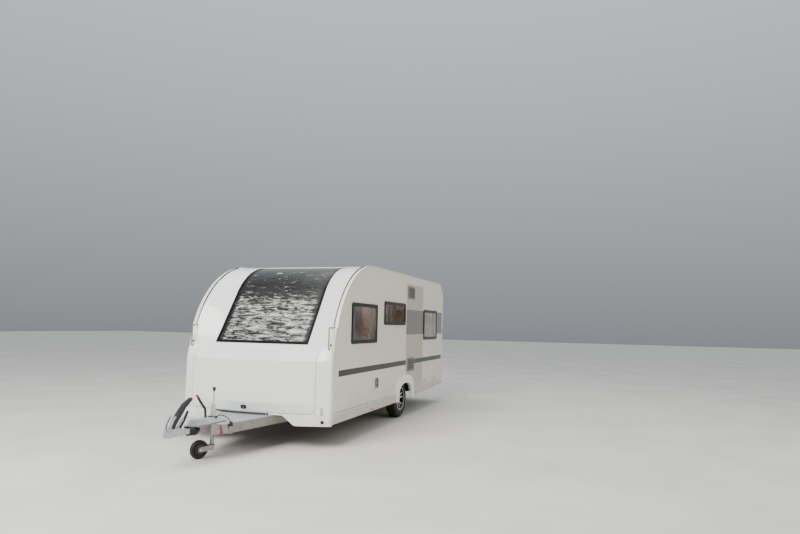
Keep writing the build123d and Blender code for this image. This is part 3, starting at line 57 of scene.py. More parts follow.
BODY = "caravan_body"
SIDES = (("left", 1), ("right", -1))
X, Y, Z = Vector((1, 0, 0)), Vector((0, 1, 0)), Vector((0, 0, 1))

# Places of the solids that the pieces sit on.
WALL_Y = 1.15
WALL_REAR = -3.69
BUMPER_X = -3.76
ROOF_Z = 2.55
WHEEL_X, WHEEL_Y, WHEEL_Z = -1.08, 0.985, 0.327
TYRE_R = 0.327
JOCKEY_X = 2.95
# The two arcs of the awning rail: middle along the body, middle up it, radius.
CROWN = (0.58, 1.15, 1.4)
TAIL = (-3.36, 2.22, 0.33)

# Openings, as their limits along the wall and up it.
HATCHES = (
    ("storage_hatch", 1, (-3.23, -2.2, 0.509, 0.885)),
    ("cassette_hatch", -1, (-3.13, -2.76, 0.56, 0.89)),
)
DOOR = (-0.33, 0.3, 0.466, 2.29)
DOOR_WINDOW = (-0.23, 0.2, 1.52, 2.12)
WINDOWS = (
    ("lounge_left", 1, (0.4, 1.42, 1.358, 1.953)),
    ("kitchen", 1, (-1.034, 0.077, 1.638, 2.028)),
    ("bed", 1, (-3.185, -2.205, 1.358, 1.953)),
    ("lounge_right", -1, (0.4, 1.42, 1.358, 1.953)),
    ("dinette", -1, (-2.08, -1.3, 1.358, 1.953)),
    ("washroom", -1, (-3.16, -2.74, 1.52, 1.953)),
)
REAR_WINDOW = (-0.56, 0.56, 1.39, 1.953)
# Roof hatches: middle along and across the roof, length and width.
ROOF_LIGHTS = ((-0.56, 0.0, 0.76, 0.56), (-2.24, 0.43, 0.46, 0.46), (-3.000, -0.65, 0.32, 0.32))

# Limits of the films on the side sheets along the body, and of the painted reflection strip along and up it.
BAND_X = (-3.65, -1.11)
REFLECTION_COLUMN_X, REFLECTION_COLUMN_Z = (-2.16, -1.11), (0.47, 2.4)
STRIPE_FORE_X, STRIPE_JOINT_X, STRIPE_AFT_X = (-1.12, 1.814), (-1.636, -1.118), (-3.6, -1.634)

MATH, MIX, RANGE = "ShaderNodeMath", "ShaderNodeMix", "ShaderNodeMapRange"
ALIGN = "FunctionNodeAlignRotationToVector"


def rgb(text):
    """A colour written as sRGB hex, as linear values with full cover."""
    parts = [int(text[i : i + 2], 16) / 255 for i in (0, 2, 4)]
    return [c / 12.92 if c <= 0.04045 else ((c + 0.055) / 1.055) ** 2.4 for c in parts] + [1.0]


def length_prop(name, about, value):
    """A size in metres that a user may change."""
    return FloatProperty(name=name, description=about, default=value, min=0.0, unit="LENGTH", precision=4)


def colour_prop(name, about, text):
    """A colour that a user may change, given as sRGB hex."""
    return FloatVectorProperty(
        name=name, description=about, default=rgb(text), size=4, subtype="COLOR", min=0.0, max=1.0
    )


class CaravanSizes(bpy.types.PropertyGroup):
    band_low: length_prop("Band foot", "Height of the wide band's lower edge", 1.47)
    band_high: length_prop("Band top", "Height of the wide band's upper edge", 1.925)
    stripe_low: length_prop("Stripe foot", "Height of the dark stripe's lower edge", 0.927)
    stripe_high: length_prop("Stripe top", "Height of the dark stripe's upper edge", 1.013)
    tread_depth: length_prop("Tread depth", "How far the tread blocks stand up from the tyre", 0.007)
    tread_blocks: IntProperty(
        name="Tread blocks", description="Blocks in one row round the tyre", default=68, min=12, max=120
    )
    bolt_radius: length_prop("Wheel bolt", "Radius of a wheel bolt's head", 0.0095)
    screw_radius: length_prop("Trim screw", "Radius of the screws in the arch surrounds and sills", 0.0048)
    cable_radius: length_prop("Cable", "Radius of the towing cable", 0.006)


class CaravanColours(bpy.types.PropertyGroup):
    shell: colour_prop("Shell", "Moulded front, rear and arches", "F6F6F4")
    walls: colour_prop("Walls", "Coated side sheets", "E6E0CE")
    band: colour_prop("Band", "Wide band along the rear half", "77706F")
    # Painted reflection: a darker upright strip on the left wall, between the vents.
    column: colour_prop("Column", "Upright beige film between the vents", "BEB5A3")
    stripe: colour_prop("Stripe", "Narrow stripe below the windows", "121316")
    panes: colour_prop("Panes", "Tint of the windows", "C9C3BB")
    cloth: colour_prop("Cloth", "Seats and mattress", "8E8377")
    curtains: colour_prop("Curtains", "Curtains and blinds", "CFC8BC")


# Material helpers


def add(tree, kind, values=None, out=None, into=None):
    """Adds a node, sets or links what the values name, and gives it back, or one of its outputs."""
    made = tree.nodes.new(kind)
    for key, value in (values or {}).items():
        if isinstance(value, bpy.types.NodeSocket):
            tree.links.new(value, made.inputs[key])
        elif isinstance(key, int) or key in made.inputs.keys():
            made.inputs[key].default_value = value
        else:
            setattr(made, key, value)
    if into is not None:
        tree.links.new(made.outputs[0 if out is None else out], into)
    return made if out is None else made.outputs[out]


def surface(name, base, rough, metal=0.0, **sockets):
    """A new material with its shader's plain values set, and where its pieces lie."""
    base = rgb(base) if isinstance(base, str) else list(base)
    made = bpy.data.materials.new(name)
    made.use_nodes = True
    made.diffuse_color = base
    tree = made.node_tree
    shader = tree.nodes["Principled BSDF"]
    for key, value in {"Base Color": base, "Roughness": rough, "Metallic": metal, **sockets}.items():
        shader.inputs[key.replace("_", " ")].default_value = value
    return made, tree, shader, add(tree, "ShaderNodeTexCoord", {"name": "place"}, "Object")


def inside(tree, spot, **limits):
    """One between the limits of X, Y, Z or away, the distance from the middle plane, and nothing outside."""
    apart = add(tree, "ShaderNodeSeparateXYZ", {0: spot})
    mask = None
    for axis, (low, high) in limits.items():
        value = apart.outputs["Y" if axis == "away" else axis]
        if axis == "away":
            value = add(tree, MATH, {"operation": "ABSOLUTE", 0: value}, 0)
        between = {"operation": "COMPARE", 0: value, 1: (low + high) / 2, 2: (high - low) / 2}
        value = add(tree, MATH, between, 0)
        if mask is not None:
            value = add(tree, MATH, {"operation": "MULTIPLY", 0: mask, 1: value}, 0)
        mask = value
    return mask


def patches(tree, spot, scale, most=1.0, low=0.4, high=0.7, detail=4.0):
    """Soft uneven patches, from nothing up to the most."""
    noise = add(tree, "ShaderNodeTexNoise", {"Scale": scale, "Detail": detail, "Vector": spot}, "Fac")
    return add(tree, RANGE, {"Value": noise, "From Min": low, "From Max": high, "To Max": most}, 0)


def road_dirt(tree, spot, top, low, amount):
    """Dust and splashes: none at the top, more near the ground, and broken up."""
    height = add(tree, "ShaderNodeSeparateXYZ", {0: spot}, "Z")
    fall = add(tree, RANGE, {"Value": height, "From Min": top, "From Max": low, "To Max": amount}, 0)
    broken = patches(tree, spot, 3.0, 1.0, 0.25, 0.7)
    return add(tree, MATH, {"operation": "MULTIPLY", 0: fall, 1: broken}, 0)


def coat(made, relief, factor=None, light=None, dark=None, detail=3.0):
    """Shifts a surface from light to dark by a factor, over a relief of a pattern or a grain's scale."""
    tree, shader = made.node_tree, made.node_tree.nodes["Principled BSDF"]
    if factor is not None:
        light, dark = (rgb(tone) if isinstance(tone, str) else tone for tone in (light, dark))
        tones = {"data_type": "RGBA", 0: factor, 6: light, 7: dark}
        add(tree, MIX, tones, 2, shader.inputs["Base Color"])
    height, distance, strength = relief
    if not isinstance(height, bpy.types.NodeSocket):
        grain = {"Scale": height, "Detail": detail, "Vector": tree.nodes["place"].outputs["Object"]}
        height = add(tree, "ShaderNodeTexNoise", grain, "Fac")
    bump = {"Height": height, "Distance": distance, "Strength": strength}
    add(tree, "ShaderNodeBump", bump, 0, shader.inputs["Normal"])
    return made


def two_tone(name, base, other, scale, most, rough, metal=0.0, grain=(500.0, 0.0003, 0.5), **sockets):
    """A surface whose colour shifts in soft patches, over a fine grain."""
    made, tree, _, spot = surface(name, base, rough, metal, **sockets)
    return coat(made, grain, patches(tree, spot, scale, most), base, other)


# Finishes


def painted_sheet():
    """Coil-coated aluminium sheet: gloss paint, faint waves, vinyl stripes and road dirt low down, and an
    upright strip of painted reflection.
    """
    sizes, colours = bpy.context.scene.caravan_sizes, bpy.context.scene.caravan_colours
    sockets = {"Coat_Weight": 0.1, "Coat_Roughness": 0.05}
    made, tree, shader, spot = surface("painted_sheet", colours.walls, 0.24, **sockets)
    dirt = road_dirt(tree, spot, 0.8, 0.35, 0.35)
    paint = add(tree, MIX, {"data_type": "RGBA", 0: dirt, 6: list(colours.walls), 7: rgb("8F8676")}, 2)
    near, far = WALL_Y - 0.004, WALL_Y + 0.03
    levels = (sizes.stripe_low, sizes.stripe_high)
    for tint, limits in (
        # Painted reflection: the darker upright strip on the left wall; the tints after it are printed
        # films.
        (list(colours.column), {"X": REFLECTION_COLUMN_X, "Y": (near, far), "Z": REFLECTION_COLUMN_Z}),
        (list(colours.band), {"X": BAND_X, "away": (near, far), "Z": (sizes.band_low, sizes.band_high)}),
        (rgb("0F0E0D"), {"X": STRIPE_FORE_X, "away": (near, far), "Z": levels}),
        (rgb("0F0E0D"), {"X": STRIPE_JOINT_X, "Y": (-far, -near), "Z": levels}),
        (list(colours.stripe), {"X": STRIPE_AFT_X, "away": (near, far), "Z": levels}),
    ):
        overlay = {"data_type": "RGBA", 0: inside(tree, spot, **limits), 6: paint, 7: tint}
        paint = add(tree, MIX, overlay, 2)
    tree.links.new(paint, shader.inputs["Base Color"])
    return coat(made, (1.3, 0.006, 0.35), detail=1.0)


def dusty_coat(name, base, dirt, rough, levels, grain, **sockets):
    """A pale coat over a fine grain, with dirt of its own colour towards the road."""
    made, tree, _, spot = surface(name, base, rough, **sockets)
    return coat(made, grain, road_dirt(tree, spot, *levels), base, dirt)


def smoked_acrylic():
    """Cast acrylic, smoked: clear gloss, its faint moulded waves bending what shows behind it."""
    tint = bpy.context.scene.caravan_colours.panes
    made, *_ = surface("smoked_acrylic", tint, 0.02, IOR=1.49, Transmission_Weight=1.0)
    return coat(made, (7.0, 0.003, 0.5), detail=2.0)


def acrylic_painted_reflections():
    """Smoked acrylic, its colour painted with reflections: light streaks low down, dark over the roof and
    down its sides.
    """
    sockets = {"IOR": 1.49, "Transmission_Weight": 0.25, "Specular_IOR_Level": 0.35, "Coat_Weight": 0.25}
    made, tree, _, spot = surface("acrylic_painted_reflections", "3A3836", 0.06, Coat_Roughness=0.03, **sockets)
    drawn = add(tree, "ShaderNodeMapping", {"Scale": (2.1, 1.2, 7.6), "Vector": spot}, 0)
    folds = {"Scale": 4.1, "Detail": 9.0, "Roughness": 0.68, "Distortion": 1.3, "Vector": drawn}
    folds = add(tree, "ShaderNodeTexNoise", folds, "Fac")
    apart = add(tree, "ShaderNodeSeparateXYZ", {0: spot})
    away = add(tree, MATH, {"operation": "ABSOLUTE", 0: apart.outputs["Y"]}, 0)
    # Painted reflection: light streaks made from the ripple pattern, faded out towards the top and the
    # sides.
    painted_reflection = folds
    for value, start, end, drop in ((apart.outputs["Z"], 1.94, 2.12, -0.13), (away, 0.635, 0.69, -0.16)):
        darker = add(tree, RANGE, {"Value": value, "From Min": start, "From Max": end, "To Max": drop}, 0)
        painted_reflection = add(tree, MATH, {"operation": "ADD", 0: painted_reflection, 1: darker}, 0)
    painted_reflection = add(tree, RANGE, {"Value": painted_reflection, "From Min": 0.465, "From Max": 0.615}, 0)
    return coat(made, (folds, 0.012, 0.7), painted_reflection, "0E0D0C", "ECEAE5")


def plain_plastic(name, base, rough=0.42, grain=520.0, tone=None):
    """Injection-moulded plastic: an even colour over the fine spark texture of its tool."""
    return two_tone(name, base, tone or base, 14.0, 0.5, rough, 0.0, (grain, 0.0003, 0.5))


def zinc_sheet():
    """Hot-dip galvanised steel: dull zinc, its spangles drawn 12 mm across, dust in patches."""
    made, tree, shader, spot = surface("zinc_sheet", "A8ABAD", 0.42, 0.85)
    cells = add(tree, "ShaderNodeTexVoronoi", {"Scale": 80.0, "Vector": spot}, "Color")
    tone = add(tree, "ShaderNodeSeparateColor", {0: cells})
    shift = add(tree, MATH, {"operation": "MULTIPLY", 0: tone.outputs[0], 1: 0.55}, 0)
    zinc = add(tree, MIX, {"data_type": "RGBA", 0: shift, 6: rgb("A5A49D"), 7: rgb("75746B")}, 2)
    rough = {"Value": tone.outputs[1], "To Min": 0.34, "To Max": 0.52}
    add(tree, RANGE, rough, 0, shader.inputs["Roughness"])
    dust = patches(tree, spot, 6.0, 0.45, 0.45, 0.8)
    return coat(made, (260.0, 0.0004, 0.3), dust, zinc, "9A8F7E")


def capped_metal(name, base, cap, limits, metal=0.9):
    """Zinc-plated or painted steel, with a moulded cap between limits of the piece."""
    made, tree, shader, spot = surface(name, base, 0.32)
    cover = inside(tree, spot, Z=limits)
    add(tree, RANGE, {"Value": cover, "To Min": metal, "To Max": 0.0}, 0, shader.inputs["Metallic"])
    return coat(made, (350.0, 0.0003, 0.3), cover, base, cap)


def machined_alloy():
    """Cast alloy wheel: lacquered black, its outer faces turned bright in fine rings 3 mm apart."""
    made, tree, _, spot = surface("machined_alloy", "1B1C1E", 0.28, 0.7, Coat_Weight=0.4)
    normal = add(tree, "ShaderNodeNewGeometry", out="Normal")
    lean = add(tree, "ShaderNodeSeparateXYZ", {0: normal}, "Y")
    lean = add(tree, MATH, {"operation": "ABSOLUTE", 0: lean}, 0)
    flat = add(tree, MATH, {"operation": "GREATER_THAN", 0: lean, 1: 0.9}, 0)
    outer = inside(tree, spot, away=(WHEEL_Y + 0.03, WHEEL_Y + 0.2))
    face = add(tree, MATH, {"operation": "MULTIPLY", 0: flat, 1: outer}, 0)
    middle = add(tree, "ShaderNodeMapping", {"Location": (-WHEEL_X, 0, -WHEEL_Z), "Vector": spot}, 0)
    rings = {"wave_type": "RINGS", "rings_direction": "Y", "Scale": 160.0, "Vector": middle}
    rings = add(tree, "ShaderNodeTexWave", rings, "Fac")
    turned = add(tree, MATH, {"operation": "MULTIPLY", 0: rings, 1: face}, 0)
    return coat(made, (turned, 0.0003, 0.3), face, "1B1C1E", "D8DADC")


def lamp_lens(name, base, other=None, away=None):
    """Coloured acrylic lens: wet gloss over inner ribs about 18 mm apart, with a second colour in a zone."""
    made, tree, _, spot = surface(name, base, 0.12, IOR=1.49, Coat_Weight=1.0, Coat_Roughness=0.03)
    zone = inside(tree, spot, away=away) if away else None
    ribs = {"Scale": 9.0, "bands_direction": "DIAGONAL", "Vector": spot}
    ribs = add(tree, "ShaderNodeTexWave", ribs, "Fac")
    return coat(made, (ribs, 0.002, 0.5), zone, base, other)


def long_grain(name, light, dark, rough, stretch, scale):
    """Wood or wood foil: a straight grain drawn out along one axis."""
    made, tree, _, spot = surface(name, light, rough)
    drawn = add(tree, "ShaderNodeMapping", {"Scale": stretch, "Vector": spot}, 0)
    grain = patches(tree, drawn, scale, 1.0, 0.3, 0.7, 8.0)
    return coat(made, (grain, 0.0005, 0.3), grain, light, dark)


def woven_cloth(name, base, other, threads):
    """Flat-woven cloth: soft, without gloss, its threads drawn 4 to 6 mm apart so that they show."""
    made, tree, _, spot = surface(name, base, 0.85, Sheen_Weight=0.3)
    weave = None
    for way in ("X", "Z", "Y"):
        threads_one_way = {"Scale": threads, "bands_direction": way, "Vector": spot}
        run = add(tree, "ShaderNodeTexWave", threads_one_way, "Fac")
        weave = run if weave is None else add(tree, MATH, {"operation": "MULTIPLY", 0: weave, 1: run}, 0)
    worn = patches(tree, spot, 7.0, 0.25)
    factor = add(tree, MATH, {"operation": "ADD", 0: weave, 1: worn}, 0)
    return coat(made, (weave, 0.0006, 0.5), factor, list(base), other)


FINISH = {}


def prepare_finishes():
    """Makes each shared finish once, under a plain name."""
    colours = bpy.context.scene.caravan_colours
    rim = (14.0, 0.5, 0.2, 0.0, (300.0, 0.0003, 0.5))
    gloss = {"Coat_Weight": 0.5, "Coat_Roughness": 0.04}
    low, lower = (0.62, 0.28, 0.35), (0.5, 0.31, 0.5)
    FINISH.update(
        sheet=painted_sheet(),
        # Vacuum-formed white ABS: soft gloss, a fine orange peel drawn 5 mm across.
        shell=dusty_coat(
            "moulded_shell", list(colours.shell), "9A9184", 0.18, low, (190.0, 0.0004, 0.2), **gloss
        ),
        # Extruded aluminium in white powder coat: half gloss, dusty along its ledges.
        sill=dusty_coat("sill_coat", "D2CFC2", "8E8678", 0.34, lower, (420.0, 0.0002, 0.4)),
        pane=smoked_acrylic(),
        # Front pane: smoked acrylic, its colour painted with streaks of reflection.
        screen=acrylic_painted_reflections(),
        # Black acrylic edge print and its moulded frame: gloss, kept from mirroring much of the sky.
        rim=two_tone("gloss_black_rim", "070708", "0B0B0C", *rim, Specular_IOR_Level=0.25),
        # Glass-filled nylon of locks, catches and cups: nearly black, half matt.
        black=plain_plastic("black_nylon", "17181A", 0.38),
        # Moulded rubber of seals, bellows and wheel: matt, greyed by dust in patches.
        rubber=plain_plastic("moulded_rubber", "131314", 0.62, 600.0, "2B2926"),
        # Grey ABS of vents, handles and inserts: matt, a little faded in patches.
        grey=plain_plastic("grey_plastic", "7E7C77", 0.5, 500.0, "6B6964"),
        # Ribbed polypropylene step plate: pale grey, scuffed in patches.
        plate=plain_plastic("cover_plate", "9CA2A5", 0.4, 420.0, "83857F"),
        # White ABS fittings: clean and half gloss.
        white=plain_plastic("white_plastic", "E9E8E4", 0.3),
        # Red polypropylene hook and button: half gloss.
        red=plain_plastic("red_plastic", "8E141C", 0.3),
        # Coated glass-yarn mesh, too fine to show: dark and dull over a grain 1 mm across.
        mesh=plain_plastic("insect_mesh", "2A2A29", 0.6, 900.0),
        # Zinc plating on pressed steel: bright, hazy in patches where it has dulled.
        bright=two_tone("bright_zinc", "CFD1D3", "94989B", 30.0, 0.45, 0.3, 0.9, (350.0, 0.0003, 0.3)),
        # Drawn aluminium with clear anodising: even, silky, with faint draw lines.
        aluminium=two_tone(
            "anodised_aluminium", "C9CBCC", "B2B4B5", 60.0, 0.4, 0.34, 0.9, (400.0, 0.0002, 0.3)
        ),
        # Black-painted cast iron: rough skin, rust coming through in spots.
        iron=two_tone("painted_iron", "38393B", "6B4A36", 22.0, 0.55, 0.55, 0.3, (300.0, 0.0006, 0.5)),
        zinc=zinc_sheet(),
        # Road tyre compound: near-black rubber, greyed by dust in its low places.
        tyre=two_tone("tyre_rubber", "1A1A1B", "4E483F", 9.0, 0.5, 0.74, 0.0, (700.0, 0.0004, 0.4)),
        alloy=machined_alloy(),
        # Hatch domes in their white frame, the jockey tube's black knob, the brake lever's red tip.
        domes=capped_metal("roof_light_domes", "E6E5E1", "C9CFD2", (2.566, 2.7), 0.0),
        tube=capped_metal("tube_and_knob", "CFD1D3", "17181A", (0.787, 0.9)),
        lever=capped_metal("brake_lever", "1A1B1D", "B3141C", (0.73, 0.9), 0.0),
        red_lens=lamp_lens("red_lens", "A31317", "DE8412", (0.73, 0.785)),
        amber_lens=lamp_lens("amber_lens", "DB9A16"),
        clear_lens=lamp_lens("clear_lens", "B4B8BB"),
        wood=long_grain("oak_foil", "BCA27C", "877258", 0.42, (1.2, 14.0, 14.0), 4.0),
        tan=long_grain("beech_edge", "E0B27C", "C08E58", 0.4, (1.2, 3.0, 14.0), 4.0),
        ply=long_grain("sealed_ply", "564A3F", "393129", 0.7, (1.0, 10.0, 1.0), 3.0),
        cloth=woven_cloth("seat_cloth", colours.cloth, "6B6258", 26.0),
        curtain=woven_cloth("curtain_cloth", colours.curtains, "B5AC9E", 40.0),
    )


# Shape helpers


class Shape:
    """Faces of one piece, gathered in the model's own frame."""

    def __init__(self):
        self.mesh = bmesh.new()

    def row(self, outline, frame_at, height=0.0):
        """Corners of an outline at a height along the frame's third axis."""
        return [self.mesh.verts.new(frame_at @ Vector((a, b, height))) for a, b in outline]

    def skin(self, rows, around=False):
        """Joins each row of corners to the next, and the last to the first if asked."""
        for below, above in list(zip(rows, rows[1:])) + ([(rows[-1], rows[0])] if around else []):
            for i in range(len(below)):
                j = (i + 1) % len(below)
                self.mesh.faces.new((below[i], below[j], above[j], above[i]))
        return self

    def slab(self, outline, frame_at, depth, edge=0.0):
        """An outline made solid along its frame's third axis, its outer edge eased if asked."""
        rows = [self.row(outline, frame_at), self.row(outline, frame_at, depth)]
        self.mesh.faces.new(rows[0][::-1])
        rim = self.mesh.faces.new(rows[1])
        self.skin(rows)
        if edge:
            edges = list(rim.edges)
            bmesh.ops.bevel(self.mesh, geom=edges, offset=edge, segments=2, profile=0.7, affect="EDGES")
        return self

    def plate(self, wide, high, corner, spot, out, depth, edge=0.0):
        """A rectangle with round corners, made solid outwards from a spot."""
        return self.slab(rounded(wide, high, corner), at(spot, out), depth, edge)

    def turned(self, profile, frame_at, steps=32, ring=False):
        """A profile of radius and height turned about the frame's third axis."""
        return self.skin([self.row(circle(radius, steps), frame_at, rise) for radius, rise in profile], ring)

    def stud(self, frame_at, steps, crown, *profile):
        """A turned profile closed at its foot, and at its top with a crown."""
        (_, foot), (_, top) = profile[0], profile[-1]
        return self.turned([(0.0, foot), *profile, (0.0, top + crown)], frame_at, steps)

    def bar(self, points, radius, sides=12, flat=1.0, closed=False):
        """A round or oval bar along points, its ends closed or joined to each other."""
        points = [Vector(p) for p in points]
        count = len(points)
        side, rows = None, []
        for i, point in enumerate(points):
            after = points[(i + 1) % count] if closed else points[min(i + 1, count - 1)]
            way = (after - points[i - 1 if closed else max(i - 1, 0)]).normalized()
            if side is None:
                side = way.orthogonal().normalized() if abs(way.dot(Y)) > 0.9 else way.cross(Y).normalized()
            side = (side - way * side.dot(way)).normalized()
            other = way.cross(side)
            size = radius[i] if isinstance(radius, (list, tuple)) else radius
            ring = [point + side * a * flat + other * b for a, b in circle(size, sides)]
            rows.append([self.mesh.verts.new(spot) for spot in ring])
        self.skin(rows, closed)
        if not closed:
            self.mesh.faces.new(rows[0][::-1])
            self.mesh.faces.new(rows[-1])
        return self

    def band(self, area, corner, wide, place, out, depth):
        """A flat frame of a width inside an area, made solid outwards from its place along X or Y."""
        x0, x1, z0, z1 = area
        middle, across, high = (x0 + x1) / 2, x1 - x0, z1 - z0
        frame_at = at((middle, place, (z0 + z1) / 2) if out.y else (place, middle, (z0 + z1) / 2), out)
        outer = rounded(across, high, corner)
        inner = rounded(across - 2 * wide, high - 2 * wide, max(corner - wide, 0.002))
        lines = ((outer, 0), (outer, depth), (inner, depth), (inner, 0))
        return self.skin([self.row(outline, frame_at, rise) for outline, rise in lines], True)

    def piece(self, name, finish, body=BODY, slot=None, smooth=35):
        """Turns the gathered faces into a piece that rides on a body."""
        bmesh.ops.remove_doubles(self.mesh, verts=self.mesh.verts, dist=1e-6)
        bmesh.ops.dissolve_degenerate(self.mesh, edges=self.mesh.edges, dist=1e-7)
        bmesh.ops.recalc_face_normals(self.mesh, faces=self.mesh.faces)
        data = bpy.data.meshes.new(name)
        self.mesh.to_mesh(data)
        self.mesh.free()
        return put(name, data, finish, body, smooth)


def shown(name, data):
    """A new object in the scene."""
    made = bpy.data.objects.new(name, data)
    bpy.context.collection.objects.link(made)
    return made


def put(name, data, finish, body=BODY, smooth=35):
    """Shows a mesh as a piece in a finish, riding on a body."""
    made = shown(name, data)
    data.materials.clear()
    data.materials.append(FINISH[finish])
    data.polygons.foreach_set("use_smooth", [True] * len(data.polygons))
    if smooth:
        data.set_sharp_from_angle(angle=math.radians(smooth))
    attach(made, body)
    return made


def at(origin, out, along=None):
    """A frame at a point whose third axis points out and whose first runs along."""
    out = Vector(out).normalized()
    along = along or (Z.cross(out) if abs(out.z) < 0.9 else X)
    along = (along - out * along.dot(out)).normalized()
    turn = Matrix((along, out.cross(along), out)).transposed().to_4x4()
    return Matrix.Translation(Vector(origin)) @ turn


def arc(middle, radius, start, end, steps):
    """Points of an arc in a plane, its angles in degrees."""
    turns = [math.radians(start + (end - start) * i / steps) for i in range(steps + 1)]
    return [(middle[0] + radius * math.cos(t), middle[1] + radius * math.sin(t)) for t in turns]


def circle(radius, steps=24):
    """The outline of a circle."""
    return arc((0, 0), radius, 0, 360, steps)[:-1]


def rounded(wide, high, corner, steps=4):
    """The outline of a rectangle with round corners, about its middle."""
    corner = min(corner, wide / 2 - 1e-5, high / 2 - 1e-5)
    spots = []
    for turn, (a, b) in enumerate(((1, 1), (-1, 1), (-1, -1), (1, -1))):
        middle = (a * (wide / 2 - corner), b * (high / 2 - corner))
        spots += arc(middle, corner, 90 * turn, 90 * turn + 90, steps)
    return spots


def wall_path(area, corner, y):
    """A rectangle's outline with round corners, upright at a place across the body."""
    x0, x1, z0, z1 = area
    return [((x0 + x1) / 2 + a, y, (z0 + z1) / 2 + b) for a, b in rounded(x1 - x0, z1 - z0, corner)]


def grown(area, by):
    """A rectangle's limits, moved outwards all round."""
    return (area[0] - by, area[1] + by, area[2] - by, area[3] + by)


def places(x0, x1, inset):
    """One place in the middle of a narrow opening, or two near the ends of a wide one."""
    return (x0 + inset, x1 - inset) if x1 - x0 > 0.5 else ((x0 + x1) / 2,)


def smooth_path(points, steps=5):
    """Points of a soft curve through the given ones."""
    points = [Vector(p) for p in points]
    padded = [points[0] * 2 - points[1]] + points + [points[-1] * 2 - points[-2]]
    path = []
    for a, b, c, d in zip(padded, padded[1:], padded[2:], padded[3:]):
        for t in (i / steps for i in range(steps)):
            bend = (2 * a - 5 * b + 4 * c - d) * t**2 + (3 * b - a - 3 * c + d) * t**3
            path.append(0.5 * (2 * b + (c - a) * t + bend))
    return path + [points[-1]]


def skin_of(*names):
    """A tree of the faces of some CAD nodes, to find places on them."""
    verts, faces = [], []
    for name in names:
        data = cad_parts[name].data
        start = len(verts)
        verts += [v.co.copy() for v in data.vertices]
        faces += [[start + i for i in poly.vertices] for poly in data.polygons]
    return BVHTree.FromPolygons(verts, faces)


def touch(skin, start, way=-X):
    """The point where a line meets the skin, and the way the skin faces there."""
    spot, normal, _, _ = skin.ray_cast(Vector(start), way)
    if spot is None:
        raise RuntimeError(f"nothing is met from {tuple(start)}")
    return spot, normal if normal.dot(way) < 0 else -normal


def repeat_tree(name, inputs):
    """A geometry tree with its named inputs, and its outputs at the start."""
    tree = bpy.data.node_groups.new(name, "GeometryNodeTree")
    tree.interface.new_socket("Geometry", in_out="INPUT", socket_type="NodeSocketGeometry")
    for label, value in inputs.items():
        kind = "NodeSocketInt" if isinstance(value, int) else "NodeSocketFloat"
        tree.interface.new_socket(label, in_out="INPUT", socket_type=kind).default_value = value
    tree.interface.new_socket("Material", in_out="INPUT", socket_type="NodeSocketMaterial")
    tree.interface.new_socket("Geometry", in_out="OUTPUT", socket_type="NodeSocketGeometry")
    return tree, add(tree, "NodeGroupInput").outputs


def end_tree(tree, ends, shape, start=None):
    """Closes a tree: the shape on each point, turned to its facing, made real and given its material."""
    facing = {"data_type": "FLOAT_VECTOR", "Name": "facing"}
    facing = add(tree, "GeometryNodeInputNamedAttribute", facing, 0)
    aim = {"axis": "Z", "Vector": facing}
    if start is not None:
        aim.update({"pivot_axis": "X", "Rotation": start})
    spread = {"Points": ends["Geometry"], "Instance": shape, "Rotation": add(tree, ALIGN, aim, 0)}
    spread = add(tree, "GeometryNodeInstanceOnPoints", spread, 0)
    real = add(tree, "GeometryNodeRealizeInstances", {0: spread}, 0)
    dressed = add(tree, "GeometryNodeSetMaterial", {"Geometry": real, "Material": ends["Material"]}, 0)
    add(tree, "NodeGroupOutput", {0: dressed})
    return tree


def head_tree():
    """Fastener heads on points: a domed or six-sided head on a thin washer."""
    tree, ends = repeat_tree("fastener_heads", {"Radius": 0.0045, "Height": 0.0025, "Sides": 12})
    wide, thin, narrow = (
        add(tree, MATH, {"operation": "MULTIPLY", 0: ends[name], 1: share}, 0)
        for name, share in (("Radius", 1.45), ("Height", 0.4), ("Radius", 0.82))
    )
    washer = add(tree, "GeometryNodeMeshCylinder", {"Vertices": 16, "Radius": wide, "Depth": thin}, "Mesh")
    head = {"Vertices": ends["Sides"], "Radius Top": narrow, "Radius Bottom": ends["Radius"]}
    head = add(tree, "GeometryNodeMeshCone", {**head, "Depth": ends["Height"]}, "Mesh")
    joined = add(tree, "GeometryNodeJoinGeometry", {0: washer})
    tree.links.new(head, joined.inputs[0])
    return end_tree(tree, ends, joined.outputs[0])


def block_tree():
    """Tread blocks on points: rubber boxes turned to stand on the tyre."""
    tree, ends = repeat_tree("tread_blocks", {"Long": 0.027, "Wide": 0.024, "Deep": 0.008, "Lean": 0.0})
    size = add(tree, "ShaderNodeCombineXYZ", {0: ends["Wide"], 1: ends["Long"], 2: ends["Deep"]}, 0)
    box = add(tree, "GeometryNodeMeshCube", {"Size": size}, "Mesh")
    turn = add(tree, "ShaderNodeCombineXYZ", {2: ends["Lean"]}, 0)
    leaned = add(tree, "GeometryNodeTransform", {"Geometry": box, "Rotation": turn}, 0)
    across = add(tree, ALIGN, {"axis": "X", "Vector": (0, 1, 0)}, 0)
    return end_tree(tree, ends, leaned, across)


TREES = {}


